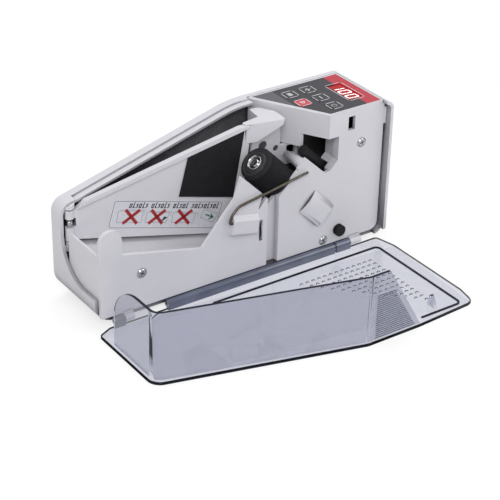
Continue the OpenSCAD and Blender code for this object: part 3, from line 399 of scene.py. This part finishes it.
def merged(node):
    # a copy of a CAD node's mesh with its corners joined and its flat faces whole
    bm = bmesh.new()
    bm.from_mesh(frame["nodes"][node].data)
    bmesh.ops.remove_doubles(bm, verts=bm.verts, dist=joining["distance"])
    bmesh.ops.dissolve_limit(bm, angle_limit=joining["angle"], verts=bm.verts, edges=bm.edges)
    return bm


def softened(name, node, radius, segments=2, least=1.2, sharpest=30, finish=None):
    # stands for a node with its longer sharp edges rounded over
    bm = merged(node)
    edges = [
        e
        for e in bm.edges
        if len(e.link_faces) == 2
        and e.calc_face_angle(0) > math.radians(sharpest)
        and e.calc_length() > least * mm
    ]
    bmesh.ops.bevel(
        bm,
        geom=edges,
        offset=radius * mm,
        offset_type="OFFSET",
        affect="EDGES",
        segments=segments,
        profile=0.5,
        clamp_overlap=True,
        material=-1,
    )
    piece = keep(name, bm, bodyOf[node], slotOf[node], finish=finish, replaces=(node,), sharp=40)
    flat = piece.modifiers.new("flatFaces", "WEIGHTED_NORMAL")
    flat.keep_sharp = True
    flat.weight = 100
    return piece


def lathe(name, node, profile, matrix, finish=None, steps=96, replaces=True, sharp=32):
    # spins a profile of radius and height pairs about the matrix's own Z axis
    bm = bmesh.new()
    ring = [bm.verts.new((radius, 0, height)) for radius, height in profile]
    edges = [bm.edges.new((ring[i], ring[(i + 1) % len(ring)])) for i in range(len(ring))]
    bmesh.ops.spin(
        bm,
        geom=ring + edges,
        cent=(0, 0, 0),
        axis=(0, 0, 1),
        angle=math.tau,
        steps=steps,
        use_merge=True,
    )
    bmesh.ops.remove_doubles(bm, verts=bm.verts, dist=0.001)
    bmesh.ops.recalc_face_normals(bm, faces=bm.faces)
    place(bm, matrix)
    return keep(
        name, bm, bodyOf[node], slotOf[node], finish=finish, replaces=(node,) if replaces else (), sharp=sharp
    )


def groove(radius, height, deep, slope, flat):
    # four points of a shallow groove, in a profile that runs up
    return [
        (radius, height),
        (radius - deep, height + slope),
        (radius - deep, height + slope + flat),
        (radius, height + slope * 2 + flat),
    ]


def quarter(radius, height, size, start, steps=5):
    # points of a quarter circle about a centre, from a start angle in degrees
    turns = [math.radians(start + 90 * i / steps) for i in range(steps + 1)]
    return [(radius + size * math.cos(turn), height + size * math.sin(turn)) for turn in turns]


def eased(points, reach, steps=8, most=0.48):
    # a path with its corners rounded, each bend taking reach of the straights beside it, or most of one
    path = [points[0]]
    for before, here, after in zip(points, points[1:], points[2:]):
        start = here + (before - here).normalized() * min(reach, (before - here).length * most)
        end = here + (after - here).normalized() * min(reach, (after - here).length * most)
        for i in range(steps + 1):
            share = i / steps
            path.append((1 - share) ** 2 * start + 2 * share * (1 - share) * here + share**2 * end)
    path.append(points[-1])
    return path


domeRings = ((0.9, 0.35), (0.6, 0.8))  # of a rod's end: how far out, and how wide


def tube(bm, path, radius, sides=16, tip=0.6):
    # a round rod along a path of points, with domed ends
    first, last = (path[0] - path[1]).normalized(), (path[-1] - path[-2]).normalized()
    spine = [(path[0] + first * radius * tip * out, size) for out, size in domeRings]
    spine += [(point, 1.0) for point in path]
    spine += [(path[-1] + last * radius * tip * out, size) for out, size in reversed(domeRings)]
    across = first.orthogonal().normalized()
    rings = []
    for i, (point, size) in enumerate(spine):
        ahead = spine[min(i + 1, len(spine) - 1)][0] - spine[max(i - 1, 0)][0]
        along = ahead.normalized()
        across = (across - along * across.dot(along)).normalized()
        beside = along.cross(across)
        ring = []
        for k in range(sides):
            turn = math.tau * k / sides
            outward = across * math.cos(turn) + beside * math.sin(turn)
            ring.append(bm.verts.new(point + radius * size * outward))
        rings.append(ring)
    for low, high in zip(rings, rings[1:]):
        for k in range(sides):
            bm.faces.new((low[k], low[(k + 1) % sides], high[(k + 1) % sides], high[k]))
    bm.faces.new(list(reversed(rings[0])))
    bm.faces.new(rings[-1])


ribbonLap = 0.35  # of the width, past each end, so that the corners fill


def ribbon(bm, points, width, closed=False, thick=0.02):
    # a flat printed line along points in a plane, as thick quads with square joints, open underneath
    points = [Vector((x, y, 0)) for x, y in points]
    if closed:
        points.append(points[0])
    for start, end in zip(points, points[1:]):
        along = (end - start).normalized()
        side = Vector((-along.y, along.x, 0)) * width / 2
        ends = (start - along * width * ribbonLap, end + along * width * ribbonLap)
        low = [bm.verts.new(p) for p in (ends[0] - side, ends[1] - side, ends[1] + side, ends[0] + side)]
        high = [bm.verts.new(v.co + Vector((0, 0, thick))) for v in low]
        bm.faces.new(high)
        for k in range(4):
            bm.faces.new((low[k], low[(k + 1) % 4], high[(k + 1) % 4], high[k]))


def patch(bm, points, thick=0.015):
    # a flat printed area, open underneath
    low = [bm.verts.new((x, y, 0)) for x, y in points]
    high = [bm.verts.new((x, y, thick)) for x, y in points]
    bm.faces.new(high)
    for k in range(len(points)):
        bm.faces.new((low[k], low[(k + 1) % len(points)], high[(k + 1) % len(points)], high[k]))


def roundedRect(width, height, radius, at=(0, 0), steps=5):
    # the corners of an upright rectangle, each rounded
    points = []
    for turn, (sx, sy) in enumerate(((1, 1), (-1, 1), (-1, -1), (1, -1))):
        centre = (at[0] + sx * (width / 2 - radius), at[1] + sy * (height / 2 - radius))
        for i in range(steps + 1):
            angle = math.radians(90 * turn + 90 * i / steps)
            points.append((centre[0] + radius * math.cos(angle), centre[1] + radius * math.sin(angle)))
    return points


def printed(name, bm, matrix, node, ink):
    place(bm, matrix)
    return keep(name, bm, bodyOf[node], slotOf[node], finish=inks[ink], sharp=30)


def basis(right, up, out, origin):
    # a frame from three directions and an origin, all in the machine's own frame
    turn = Matrix((right, up, out)).transposed().to_4x4()
    return machine @ Matrix.Translation(origin) @ turn


def painted(piece, finish, choose):
    # gives a second finish to the faces that choose picks by their centre, normal, width and corners, in mm
    piece.data.materials.append(finish.material)
    for face in piece.data.polygons:
        corners = [toMachine @ piece.data.vertices[i].co for i in face.vertices]
        longest = max((corners[i] - corners[i - 1]).length for i in range(len(corners)))
        width = face.area / mm**2 / max(longest, 0.001)
        if choose(toMachine @ face.center, face.normal, width, corners):
            face.material_index = len(piece.data.materials) - 1


softEdges = {
    "rear_shell": ("rearShell", 0.5),
    "front_panel": ("frontPanel", 0.35),
    "hopper_wall": ("hopperWall", 0.45),
    "control_cap": ("controlCap", 0.3),
    "presser_plate": ("presserPlate", 0.4),
    "guide_plate": ("guidePlate", 0.2),
    "wire_bracket": ("wireBracket", 0.4),
    "battery_door": ("batteryDoor", 0.25),
    "hopper_floor": ("hopperFloor", 0.3),
    "presser_pad": ("presserPad", 0.25),
    "rubber_stud": ("rubberStud", 0.25),
    "dc_jack": ("powerSocket", 0.2),
}
for node, (name, radius) in softEdges.items():
    piece = softened(name, node, radius, finish=deepShadedCase if node == "rear_shell" else None)
    print("softened", name, len(piece.data.polygons), "faces")
keyNodes = {
    "keyMode": "key_mode",
    "keyUp": "key_up",
    "keyDown": "key_down",
    "keySet": "key_set",
    "keyStart": "key_start",
}
keyEdge = 0.16
for name, node in keyNodes.items():
    softened(name, node, keyEdge, 3)
print("softened", len(keyNodes), "keys")

# The clear lid: rims, ribs and hinge barrels look darker than its walls
lidShape = {
    "edge": 0.8,
    "segments": 4,
    "thin": 2.6,  # narrower faces than this are edges
    "rimTop": 3.0,
    "hoodLow": 9.0,
    "barrelBack": -3.7,
    "barrelLow": 3.9,
}


def darkEdge(centre, normal, width, corners):
    # the plate's rim and rib, and the top edge of the hood, but not its upright corners or slanted end
    low = max(spot.z for spot in corners) < lidShape["rimTop"]
    high = centre.z > lidShape["hoodLow"] and normal.z > 0.2 and normal.x < 0.3
    return width < lidShape["thin"] and (low or high)


def barrelFace(centre, normal, width, corners):
    return centre.y > lidShape["barrelBack"] and centre.z > lidShape["barrelLow"]


lid = softened("clearLid", "lid", lidShape["edge"], lidShape["segments"])
painted(lid, smokyRims, darkEdge)
painted(lid, smokyBarrel, barrelFace)
print("lid made:", len(lid.data.polygons), "faces")

# Grip ribs across the sloping end of the hood, each shown by the dark line along its foot
grip = {"low": 4.0, "pitch": 1.5, "line": 0.2, "slack": 0.05}
bm = merged("lid_grip")
for vert in bm.verts:
    level = (toMachine @ vert.co).z
    step = math.floor((level - grip["low"] + grip["slack"]) / grip["pitch"])
    foot = grip["low"] + step * grip["pitch"]
    vert.co.z -= max(0, level - foot - grip["line"]) * mm
keep("gripRibs", bm, bodyOf["lid_grip"], slotOf["lid_grip"], finish=smokyBarrel, replaces=("lid_grip",))

# Dark rim round the lid's plate: the upright faces between two levels, made deeper and given a wall
rim = {"from": 0.5, "to": 2.05, "low": 0.15, "high": 1.9, "middle": 1.0, "thick": 0.7}
bm = merged("lid")
others = []
for face in bm.faces:
    heights = [(toMachine @ vert.co).z for vert in face.verts]
    if abs(face.normal.z) > 0.1 or max(heights) > rim["to"] or min(heights) < rim["from"]:
        others.append(face)
bmesh.ops.delete(bm, geom=others, context="FACES")
for vert in bm.verts:
    vert.co.z = (rim["low"] if (toMachine @ vert.co).z < rim["middle"] else rim["high"]) * mm
bmesh.ops.solidify(bm, geom=bm.faces, thickness=rim["thick"] * mm)
keep("lidRim", bm, bodyOf["lid"], slotOf["lid"], finish=smokyRims)

# Half-moon ridges in the flat right part of the lid, in a triangular field
dimples = {
    "start": (194.2, -24.0, 2.0),
    "column": (-4.72, 0, 0),
    "row": (0, -4.8, 0),
    "rows": 13,
    "radius": 1.15,
    "ridge": 0.3,
}
bm = bmesh.new()
for row in range(dimples["rows"]):
    for column in range(dimples["rows"] - row):
        spot = Vector(dimples["start"]) + column * Vector(dimples["column"]) + row * Vector(dimples["row"])
        arc = []
        for turn in range(10, 171, 20):
            across, along = math.cos(math.radians(turn)), math.sin(math.radians(turn))
            arc.append(spot + dimples["radius"] * Vector((across, along, 0)))
        tube(bm, arc, dimples["ridge"], sides=8)
place(bm, machine)
keep("lidDimples", bm, bodyOf["lid"], slotOf["lid"], finish=smokyRims)

# The rollers and what turns with them, about the feed shaft's free end
shaftTurn = ((0.70711, 0, 0.70711), (0, -1, 0), (0.70711, 0, -0.70711))
feed = {
    "end": (122.7, 11.0, 79.55),
    "radius": 11.5,
    "bore": 8.0,
    "start": 0.6,
    "stop": 24.0,
    "edges": (1.6, 0.6),
    "plain": (2.2, 1.5),  # smooth rubber before the first groove and after the last
    "groove": (0.5, 0.15, 0.35),  # depth, slope and flat
    "rib": 1.25,
}
feedFrame = basis(*shaftTurn, feed["end"])
front, back = feed["edges"]
profile = [(feed["bore"], feed["stop"]), (feed["bore"], feed["start"])]
profile += quarter(feed["radius"] - front, feed["start"] + front, front, -90)
height = feed["start"] + feed["plain"][0]
while height < feed["stop"] - feed["plain"][1]:
    profile += groove(feed["radius"], height, *feed["groove"])
    height += feed["rib"]
profile += quarter(feed["radius"] - back, feed["stop"] - back, back, 0)
lathe("feedTyre", "feed_tyre", profile, feedFrame)
hubFace = [(5.4, 1.5), (5.4, 0.4)] + quarter(5.7, 0.3, 0.3, 180, 3) + [(7.2, 0.0)]
hubFace += [(7.5, 0.5), (7.9, 0.7), (9.3, 0.2), (9.4, 0.62), (8.0, 0.75)]
hubFace += [(8.0, 23.9), (2.1, 23.9), (2.1, 1.5)]
lathe("feedHub", "feed_hub", hubFace, feedFrame, sharp=25)
washer = [(2.2, 1.55), (2.2, 0.9), (4.1, 0.75), (4.5, -0.4), (4.85, -0.6), (5.15, -0.35), (5.2, 1.55)]
lathe("feedWasher", "feed_screw", washer, feedFrame, sharp=60)
head = [(0.0, 1.5), (0.0, 0.15), (1.35, 0.15), (1.35, -0.1), (2.2, -0.1), (2.6, 0.15), (2.6, 1.5)]
lathe("feedScrewHead", "feed_screw", head, feedFrame, replaces=False)
# The feed screw's hex socket: a thin black-plastic hexagon as painted shade at the bottom of the hole
socket = {"radius": 1.34, "deep": 0.05, "level": 0.13}
bm = bmesh.new()
bmesh.ops.create_cone(
    bm,
    cap_ends=True,
    segments=6,
    radius1=socket["radius"],
    radius2=socket["radius"],
    depth=socket["deep"],
    matrix=Matrix.Translation((0, 0, socket["level"])),
)
place(bm, feedFrame)
keep("feedScrewSocketShade", bm, bodyOf["feed_screw"], slotOf["feed_screw"], finish=finishes["black_plastic"])
rolled = {
    "from": (25.9, 12.0, 28.3),
    "radius": 3.9,
    "length": 28.2,
    "bore": 2.02,
    "cap": 1.5,
    "edges": (0.6, 0.3),
    "grooves": (20.4, 26.0),
    "groove": (0.5, 0.15, 0.6),
}
front, back = rolled["edges"]
exitFrame = feedFrame @ Matrix.Translation(
    (rolled["from"][0], feed["end"][1] - rolled["from"][1], rolled["from"][2])
)
profile = [(rolled["bore"], rolled["length"]), (rolled["bore"], rolled["cap"]), (0, rolled["cap"]), (0, 0)]
profile += quarter(rolled["radius"] - front, front, front, -90)
for height in rolled["grooves"]:
    profile += groove(rolled["radius"], height, *rolled["groove"])
profile += quarter(rolled["radius"] - back, rolled["length"] - back, back, 0, 3)
lathe("exitRoller", "exit_roller", profile, exitFrame)
print("rollers made")

# The bent spring wire in its bracket
wire = {
    "bracket": (106.9, 0, 45.6),
    "tilt": 12,
    "radius": 0.9,
    "depth": -2.4,
    "run": ((4, 1.4), (-12.2, 1.4), (-11.6, 7.4), (-7.8, 12.9), (42.2, 33.2)),
    "ease": 1.4,
}
bends = [Vector((x, wire["depth"], z)) for x, z in wire["run"]]
wireTurn = Matrix.Rotation(math.radians(wire["tilt"]), 4, "Y")
bm = bmesh.new()
tube(bm, eased(bends, wire["ease"]), wire["radius"], tip=0.5)
place(bm, machine @ Matrix.Translation(wire["bracket"]) @ wireTurn)
keep("guideWire", bm, bodyOf["guide_wire"], slotOf["guide_wire"], replaces=("guide_wire",), sharp=50)

# The presser's torsion spring, a true helix with one leg along the plate
pressed = {"pivot": (6.6, 43.4, 0), "angle": 8.787, "front": -1.2}
plateFrame = (
    machine @ Matrix.Translation(pressed["pivot"]) @ Matrix.Rotation(-math.radians(pressed["angle"]), 4, "Z")
)
coil = {"low": 53.8, "turns": 5, "pitch": 0.9, "radius": 1.8, "wire": 0.35, "leg": 12.5, "steps": 24}
helix = [Vector((coil["leg"], coil["radius"], coil["low"]))]
for i in range(coil["steps"] * (coil["turns"] - 1) + 1):
    turns = i / coil["steps"]
    across = coil["radius"] * math.sin(math.tau * turns)
    along = coil["radius"] * math.cos(math.tau * turns)
    helix.append(Vector((across, along, coil["low"] + coil["pitch"] * turns)))
bm = bmesh.new()
tube(bm, helix, coil["wire"], sides=10)
place(bm, plateFrame)
keep("presserSpring", bm, bodyOf["presser_spring"], slotOf["presser_spring"], replaces=("presser_spring",))
print("wire and spring made")

# Panel screws: a domed head sunk in its pocket, with its cross recess shown as a black-plastic cross of
# painted shade
screws = {
    "spots": ((200.0, 78.0), (172.0, 13.0), (32.0, 33.0)),
    "turns": (12, 40, 65),
    "face": -0.7,
    "head": 2.9,
    "dome": 0.5,
    "thread": 1.2,
    "shank": 11,
    "wings": (3.8, 0.62, 0.24),
    "sunk": 0.1,
}
bm = bmesh.new()
paintedRecessShade = bmesh.new()
for (x, z), turn in zip(screws["spots"], screws["turns"]):
    spot = Matrix.Translation((x, screws["face"], z)) @ Matrix.Rotation(math.pi / 2, 4, "X")
    spot = spot @ Matrix.Rotation(math.radians(turn), 4, "Z")
    bmesh.ops.create_cone(
        bm,
        cap_ends=True,
        segments=40,
        radius1=screws["head"],
        radius2=screws["head"] - screws["dome"],
        depth=screws["dome"],
        matrix=spot @ Matrix.Translation((0, 0, -screws["dome"] / 2)),
    )
    bmesh.ops.create_cone(
        bm,
        cap_ends=True,
        segments=24,
        radius1=screws["thread"],
        radius2=screws["thread"],
        depth=screws["shank"],
        matrix=spot @ Matrix.Translation((0, 0, -screws["dome"] - screws["shank"] / 2)),
    )
    for wing in (0, 90):
        bmesh.ops.create_cube(
            paintedRecessShade,
            size=1,
            matrix=spot
            @ Matrix.Rotation(math.radians(wing), 4, "Z")
            @ Matrix.Translation((0, 0, -screws["sunk"]))
            @ Matrix.Diagonal((*screws["wings"], 1)),
        )
place(bm, machine)
keep("panelScrews", bm, bodyOf["panel_screws"], slotOf["panel_screws"], replaces=("panel_screws",))
place(paintedRecessShade, machine)
# black plastic as painted shade in the cross recesses
dark = finishes["black_plastic"]
keep("screwRecessShade", paintedRecessShade, bodyOf["panel_screws"], slotOf["panel_screws"], finish=dark)
print("screws made")

# Lens of each note sensor, seen through its hole in the guide plate
lenses = {"spots": ((139.5, 80.7, 3.1), (149.9, 76.2, 2.0)), "front": 26.8, "rise": 0.15}
bm = bmesh.new()
for x, z, size in lenses["spots"]:
    bmesh.ops.create_uvsphere(
        bm,
        u_segments=24,
        v_segments=12,
        radius=1,
        matrix=Matrix.Translation((x, lenses["front"], z)) @ Matrix.Diagonal((size, lenses["rise"], size, 1)),
    )
place(bm, machine)
keep("sensorLenses", bm, bodyOf["note_sensors"], slotOf["note_sensors"], finish=lensFinish)

# Faint raised strips across the front panel, in line with the shafts
strips = {"across": ((6.4, 0.3), (9.6, 0.3)), "along": ((33, 46), (72, 110)), "reach": 0.1}
bm = bmesh.new()
for across, width in strips["across"]:
    for start, stop in strips["along"]:
        bmesh.ops.create_cube(
            bm,
            size=1,
            matrix=Matrix.Translation((across, feed["end"][1], (start + stop) / 2))
            @ Matrix.Diagonal((width, strips["reach"] * 2, stop - start, 1)),
        )
place(bm, feedFrame)
keep("panelStrips", bm, bodyOf["front_panel"], slotOf["front_panel"])
print("lenses and strips made")

# Print on the keypad film: the top of the print is towards +X on the machine, and it reads towards -Y
film = {
    "top": 104.51,
    "keyTop": 104.71,
    "keys": {"keyMode": (0, 0), "keyUp": (1, 0), "keyDown": (1, 1), "keySet": (1, 2), "keyStart": (0, 1)},
    "first": (169.1, 38.4),
    "pitch": 14.4,
    "symbolLine": 0.62,
    "keyOutline": {"width": 9.1, "height": 9.1, "round": 0.9, "line": 0.42},
    "display": (202.8, 23.6),
    "displayOutline": {"width": 27.0, "height": 12.8, "round": 0.8, "line": 0.35},
}


def filmFrame(spot, height):
    return basis((0, -1, 0), (1, 0, 0), (0, 0, 1), (spot[0], spot[1], height))


def keySpot(name):
    column, row = film["keys"][name]
    return (film["first"][0] + column * film["pitch"], film["first"][1] - row * film["pitch"])


def outlined(shape):
    # a printed line round a key or the display
    bm = bmesh.new()
    ribbon(bm, roundedRect(shape["width"], shape["height"], shape["round"]), shape["line"], True)
    return bm


ringSymbol = [(1.7 * math.cos(math.tau * i / 12), 1.7 * math.sin(math.tau * i / 12)) for i in range(12)]
symbols = {
    "keyMode": [
        ([(-1.9, 1.1), (1.9, 1.1)], False),
        ([(-1.9, 0), (1.9, 0)], False),
        ([(-1.9, -1.1), (1.9, -1.1)], False),
    ],
    "keyUp": [([(-1.8, 0), (1.8, 0)], False), ([(0, -1.8), (0, 1.8)], False)],
    "keyDown": [([(-1.8, 0), (1.8, 0)], False)],
    "keySet": [(ringSymbol, True)],
    "keyStart": [([(-1.3, 1.7), (1.7, 0), (-1.3, -1.7)], True)],
}
for name, lines in symbols.items():
    onKey = filmFrame(keySpot(name), film["keyTop"])
    bm = bmesh.new()
    for points, closed in lines:
        ribbon(bm, points, film["symbolLine"], closed)
    printed(name + "Symbol", bm, onKey, keyNodes[name], "pale")
    printed(name + "Outline", outlined(film["keyOutline"]), onKey, keyNodes[name], "pale")
onFilm = filmFrame(film["display"], film["top"])
printed("displayOutline", outlined(film["displayOutline"]), onFilm, "control_membrane", "pale")

# The lit number 100, from seven slanted strokes a digit
digits = {
    "height": 7.6,
    "width": 4.4,
    "pitch": 7.6,
    "slant": 0.14,
    "stroke": 0.85,
    "gap": 0.62,  # a stroke stops this share of its width short of the corner
    "level": 104.01,
    "strokes": {
        "1": ("topRight", "lowRight"),
        "0": ("top", "topRight", "lowRight", "low", "lowLeft", "topLeft"),
    },
}


def stroke(name):
    w, h, s = digits["width"] / 2, digits["height"] / 2, digits["stroke"] * digits["gap"]
    return {
        "top": ((-w + s, h), (w - s, h)),
        "low": ((-w + s, -h), (w - s, -h)),
        "topRight": ((w, h - s), (w, s)),
        "lowRight": ((w, -s), (w, -h + s)),
        "topLeft": ((-w, h - s), (-w, s)),
        "lowLeft": ((-w, -s), (-w, -h + s)),
    }[name]


bm = bmesh.new()
for i, digit in enumerate("100"):
    for name in digits["strokes"][digit]:
        ribbon(
            bm,
            [(x + digits["slant"] * y + (i - 1) * digits["pitch"], y) for x, y in stroke(name)],
            digits["stroke"],
        )
printed("displayDigits", bm, filmFrame(film["display"], digits["level"]), "display_window", "digits")
print("keypad print made")

# The label's film and its print: a border, a line of strokes, three crossed note pictures and an arrow.
# Places on it are mm along its top edge and mm down from it
label = {
    "corner": (29.5, 65.5),
    "along": (1.0, -0.224),
    "down": (-0.27, -1.0),
    "size": (75.0, 19.0),
    "round": 2.2,
    "film": 0.03,
    "colourTop": 0.02,  # the coloured print stands this high, over the dark
    "border": {"inset": 1.2, "round": 1.8, "line": 0.28},
    "words": (6, 6, 5, 9),
    "text": {"start": 11.0, "step": 2.15, "space": 2.0, "top": 1.3, "base": 4.7, "line": 0.7},
    "crosses": {"across": (14.0, 31.4, 49.9), "down": 10.9, "half": (4.3, 4.2), "line": 2.2},
    "notes": (
        ((4.4, 7.0), (21.2, 7.0), (21.6, 14.9), (5.0, 14.9)),
        ((24.0, 7.7), (39.6, 8.0), (38.4, 14.8), (24.4, 14.9)),
        ((42.0, 8.1), (58.0, 8.4), (57.0, 15.0), (42.4, 14.9)),
        ((62.9, 5.8), (73.4, 8.9), (71.4, 14.6), (61.6, 11.3)),
    ),
    "noteLine": 0.34,
    "behind": {"shift": (1.1, -0.7), "drop": 3, "line": 0.22},  # the next note in each picture's stack
    "fold": {"corners": ((34.6, 15.0), (38.8, 11.2), (36.4, 10.6)), "top": 0.03},
    "arrow": {"at": (68.0, 10.3), "shaft": 0.9, "head": 0.8},
}


def onLabel(a, b):
    return (
        label["corner"][0] + a * label["along"][0] + b * label["down"][0],
        label["corner"][1] + a * label["along"][1] + b * label["down"][1],
    )


def labelLine(bm, points, width, closed=False, thick=0.01):
    ribbon(bm, [onLabel(*point) for point in points], width, closed, thick)


def labelGlyph(bm, kind, a):
    # a slanted mark that stands for a letter, in one of three shapes
    top, base, line = label["text"]["top"], label["text"]["base"], label["text"]["line"]
    if kind == 0:
        points = [(a + 0.5, top + 1), (a + 1.6, top + 1), (a + 1.3, base), (a + 0.2, base)]
        labelLine(bm, points, line, True)
    elif kind == 1:
        labelLine(bm, [(a + 1.1, top), (a + 0.5, base)], line)
        labelLine(bm, [(a + 0.4, base), (a + 1.3, base)], line)
    else:
        points = [(a + 1.5, top + 1.1), (a + 0.5, top + 1.2), (a + 1.3, base - 0.7), (a + 0.2, base)]
        labelLine(bm, points, line)


labelFrame = (
    plateFrame @ Matrix.Translation((0, pressed["front"], 0)) @ Matrix.Rotation(math.pi / 2, 4, "X")
)
middle = (label["size"][0] / 2, label["size"][1] / 2)
outline = [onLabel(a, b) for a, b in roundedRect(*label["size"], label["round"], middle)]
bm = bmesh.new()
patch(bm, list(reversed(outline)), label["film"])
place(bm, labelFrame)
keep("labelFilm", bm, bodyOf["presser_label"], slotOf["presser_label"])
marks = {ink: bmesh.new() for ink in ("dark", "red", "grey", "green")}
border = label["border"]
inner = [size - border["inset"] for size in label["size"]]
labelLine(marks["dark"], roundedRect(*inner, border["round"], middle), border["line"], True)
a = label["text"]["start"]
count = 0
for letters in label["words"]:
    for letter in range(letters):
        labelGlyph(marks["dark"], count % 3, a)
        a += label["text"]["step"]
        count += 1
    a += label["text"]["space"]
behind = label["behind"]
for note in label["notes"]:
    labelLine(marks["grey"], note, label["noteLine"], True)
    edge = [(x + behind["shift"][0], y + behind["shift"][1]) for x, y in note[:2]]
    edge.append((note[1][0] + behind["shift"][0], note[1][1] + behind["drop"]))
    labelLine(marks["grey"], edge, behind["line"])
fold = label["fold"]
patch(marks["dark"], [onLabel(*spot) for spot in fold["corners"]], fold["top"])
crosses = label["crosses"]
reachA, reachB = crosses["half"]
for a in crosses["across"]:
    for rise in (reachB, -reachB):
        bar = [(a - reachA, crosses["down"] - rise), (a + reachA, crosses["down"] + rise)]
        labelLine(marks["red"], bar, crosses["line"], thick=label["colourTop"])
arrow = label["arrow"]
a, b = arrow["at"]
shaft = [(a - 3, b - 1), (a + 2, b + 0.6)]
barbs = [(a + 0.6, b - 1.5), (a + 2.6, b + 0.8), (a, b + 1.9)]
labelLine(marks["green"], shaft, arrow["shaft"], thick=label["colourTop"])
labelLine(marks["green"], barbs, arrow["head"], thick=label["colourTop"])
inkFrame = labelFrame @ Matrix.Translation((0, 0, label["film"]))
for ink, bm in marks.items():
    printed("label" + ink.capitalize(), bm, inkFrame, "presser_label", ink)
print("label print made")

# Camera, lamps, and a backdrop and floor that are white where seen and dimmer where they light the machine
view = {
    "azimuth": -35.348,
    "elevation": 30.043,
    "roll": 1.288,
    "place": (-510.95, -700.35, 537.5),  # mm, in the shared frame
    "lens": 115.13,
    "sensor": 36.0,
    "clip": (0.05, 20),
}
eye = bpy.data.cameras.new("viewCamera")
eye.lens = view["lens"]
eye.sensor_width = view["sensor"]
eye.clip_start, eye.clip_end = view["clip"]
camera = bpy.data.objects.new("viewCamera", eye)
camera.matrix_world = (
    Matrix.Translation(Vector(view["place"]) * mm)
    @ Matrix.Rotation(math.radians(view["azimuth"]), 4, "Z")
    @ Matrix.Rotation(math.radians(90 - view["elevation"]), 4, "X")
    @ Matrix.Rotation(math.radians(view["roll"]), 4, "Z")
)
bpy.context.scene.collection.objects.link(camera)
bpy.context.scene.camera = camera

lamps = {
    "key": {"place": (-0.7, -1.0, 1.15), "size": 0.8, "watts": 12.6},
    "fill": {"place": (1.1, -0.7, 0.7), "size": 1.0, "watts": 4.4},
    "top": {"place": (0.1, 0.5, 1.3), "size": 1.0, "watts": 5.5},
}
for name, lamp in lamps.items():
    light = bpy.data.lights.new(name + "Lamp", "AREA")
    light.shape = "DISK"
    light.size = lamp["size"]
    light.energy = lamp["watts"]
    holder = bpy.data.objects.new(name + "Lamp", light)
    holder.location = lamp["place"]
    holder.rotation_euler = (-Vector(lamp["place"])).to_track_quat("-Z", "Y").to_euler()
    bpy.context.scene.collection.objects.link(holder)

backdrop = {"surround": 0.45, "seen": 1.0, "floorSize": 6.0, "paper": 0.8, "ownShare": 0.3, "glow": 0.73}


def seenRays(tree):
    # 1 for the rays by which the backdrop is seen: straight, mirrored, or through the clear lid
    paths = tree.nodes.new("ShaderNodeLightPath")
    seen = paths.outputs["Is Camera Ray"]
    for kind in ("Is Glossy Ray", "Is Transmission Ray"):
        either = tree.nodes.new("ShaderNodeMath")
        either.operation = "MAXIMUM"
        tree.links.new(seen, either.inputs[0])
        tree.links.new(paths.outputs[kind], either.inputs[1])
        seen = either.outputs["Value"]
    return seen


world = bpy.data.worlds.new("studio")
bpy.context.scene.world = world
world.use_nodes = True
sky = world.node_tree.nodes["Background"]
skyLevel = world.node_tree.nodes.new("ShaderNodeMapRange")
skyLevel.inputs["To Min"].default_value = backdrop["surround"]
skyLevel.inputs["To Max"].default_value = backdrop["seen"]
world.node_tree.links.new(seenRays(world.node_tree), skyLevel.inputs["Value"])
world.node_tree.links.new(skyLevel.outputs["Result"], sky.inputs["Strength"])
sky.inputs["Color"].default_value = (1, 1, 1, 1)

floorFinish = bpy.data.materials.new("paleFloor")
floorFinish.use_nodes = True
floorTree = floorFinish.node_tree
paper = floorTree.nodes.new("ShaderNodeBsdfDiffuse")
paper.inputs["Color"].default_value = (backdrop["paper"],) * 3 + (1,)
dimPaper = floorTree.nodes.new("ShaderNodeBsdfDiffuse")
dimPaper.inputs["Color"].default_value = (backdrop["ownShare"],) * 3 + (1,)
glow = floorTree.nodes.new("ShaderNodeEmission")
glow.inputs["Strength"].default_value = backdrop["glow"]
both = floorTree.nodes.new("ShaderNodeAddShader")
choose = floorTree.nodes.new("ShaderNodeMixShader")
floorTree.links.new(dimPaper.outputs["BSDF"], both.inputs[0])
floorTree.links.new(glow.outputs["Emission"], both.inputs[1])
floorTree.links.new(seenRays(floorTree), choose.inputs["Fac"])
floorTree.links.new(paper.outputs["BSDF"], choose.inputs[1])
floorTree.links.new(both.outputs["Shader"], choose.inputs[2])
floorTree.links.new(choose.outputs["Shader"], floorTree.nodes["Material Output"].inputs["Surface"])
floorMesh = bmesh.new()
bmesh.ops.create_grid(floorMesh, x_segments=1, y_segments=1, size=backdrop["floorSize"] / 2)
floorData = bpy.data.meshes.new("paleFloor")
floorMesh.to_mesh(floorData)
floorMesh.free()
floorData.materials.append(floorFinish)
floor = bpy.data.objects.new("paleFloor", floorData)
bpy.context.scene.collection.objects.link(floor)
bpy.context.scene.view_settings.view_transform = "Standard"
print("camera, lamps and floor set")
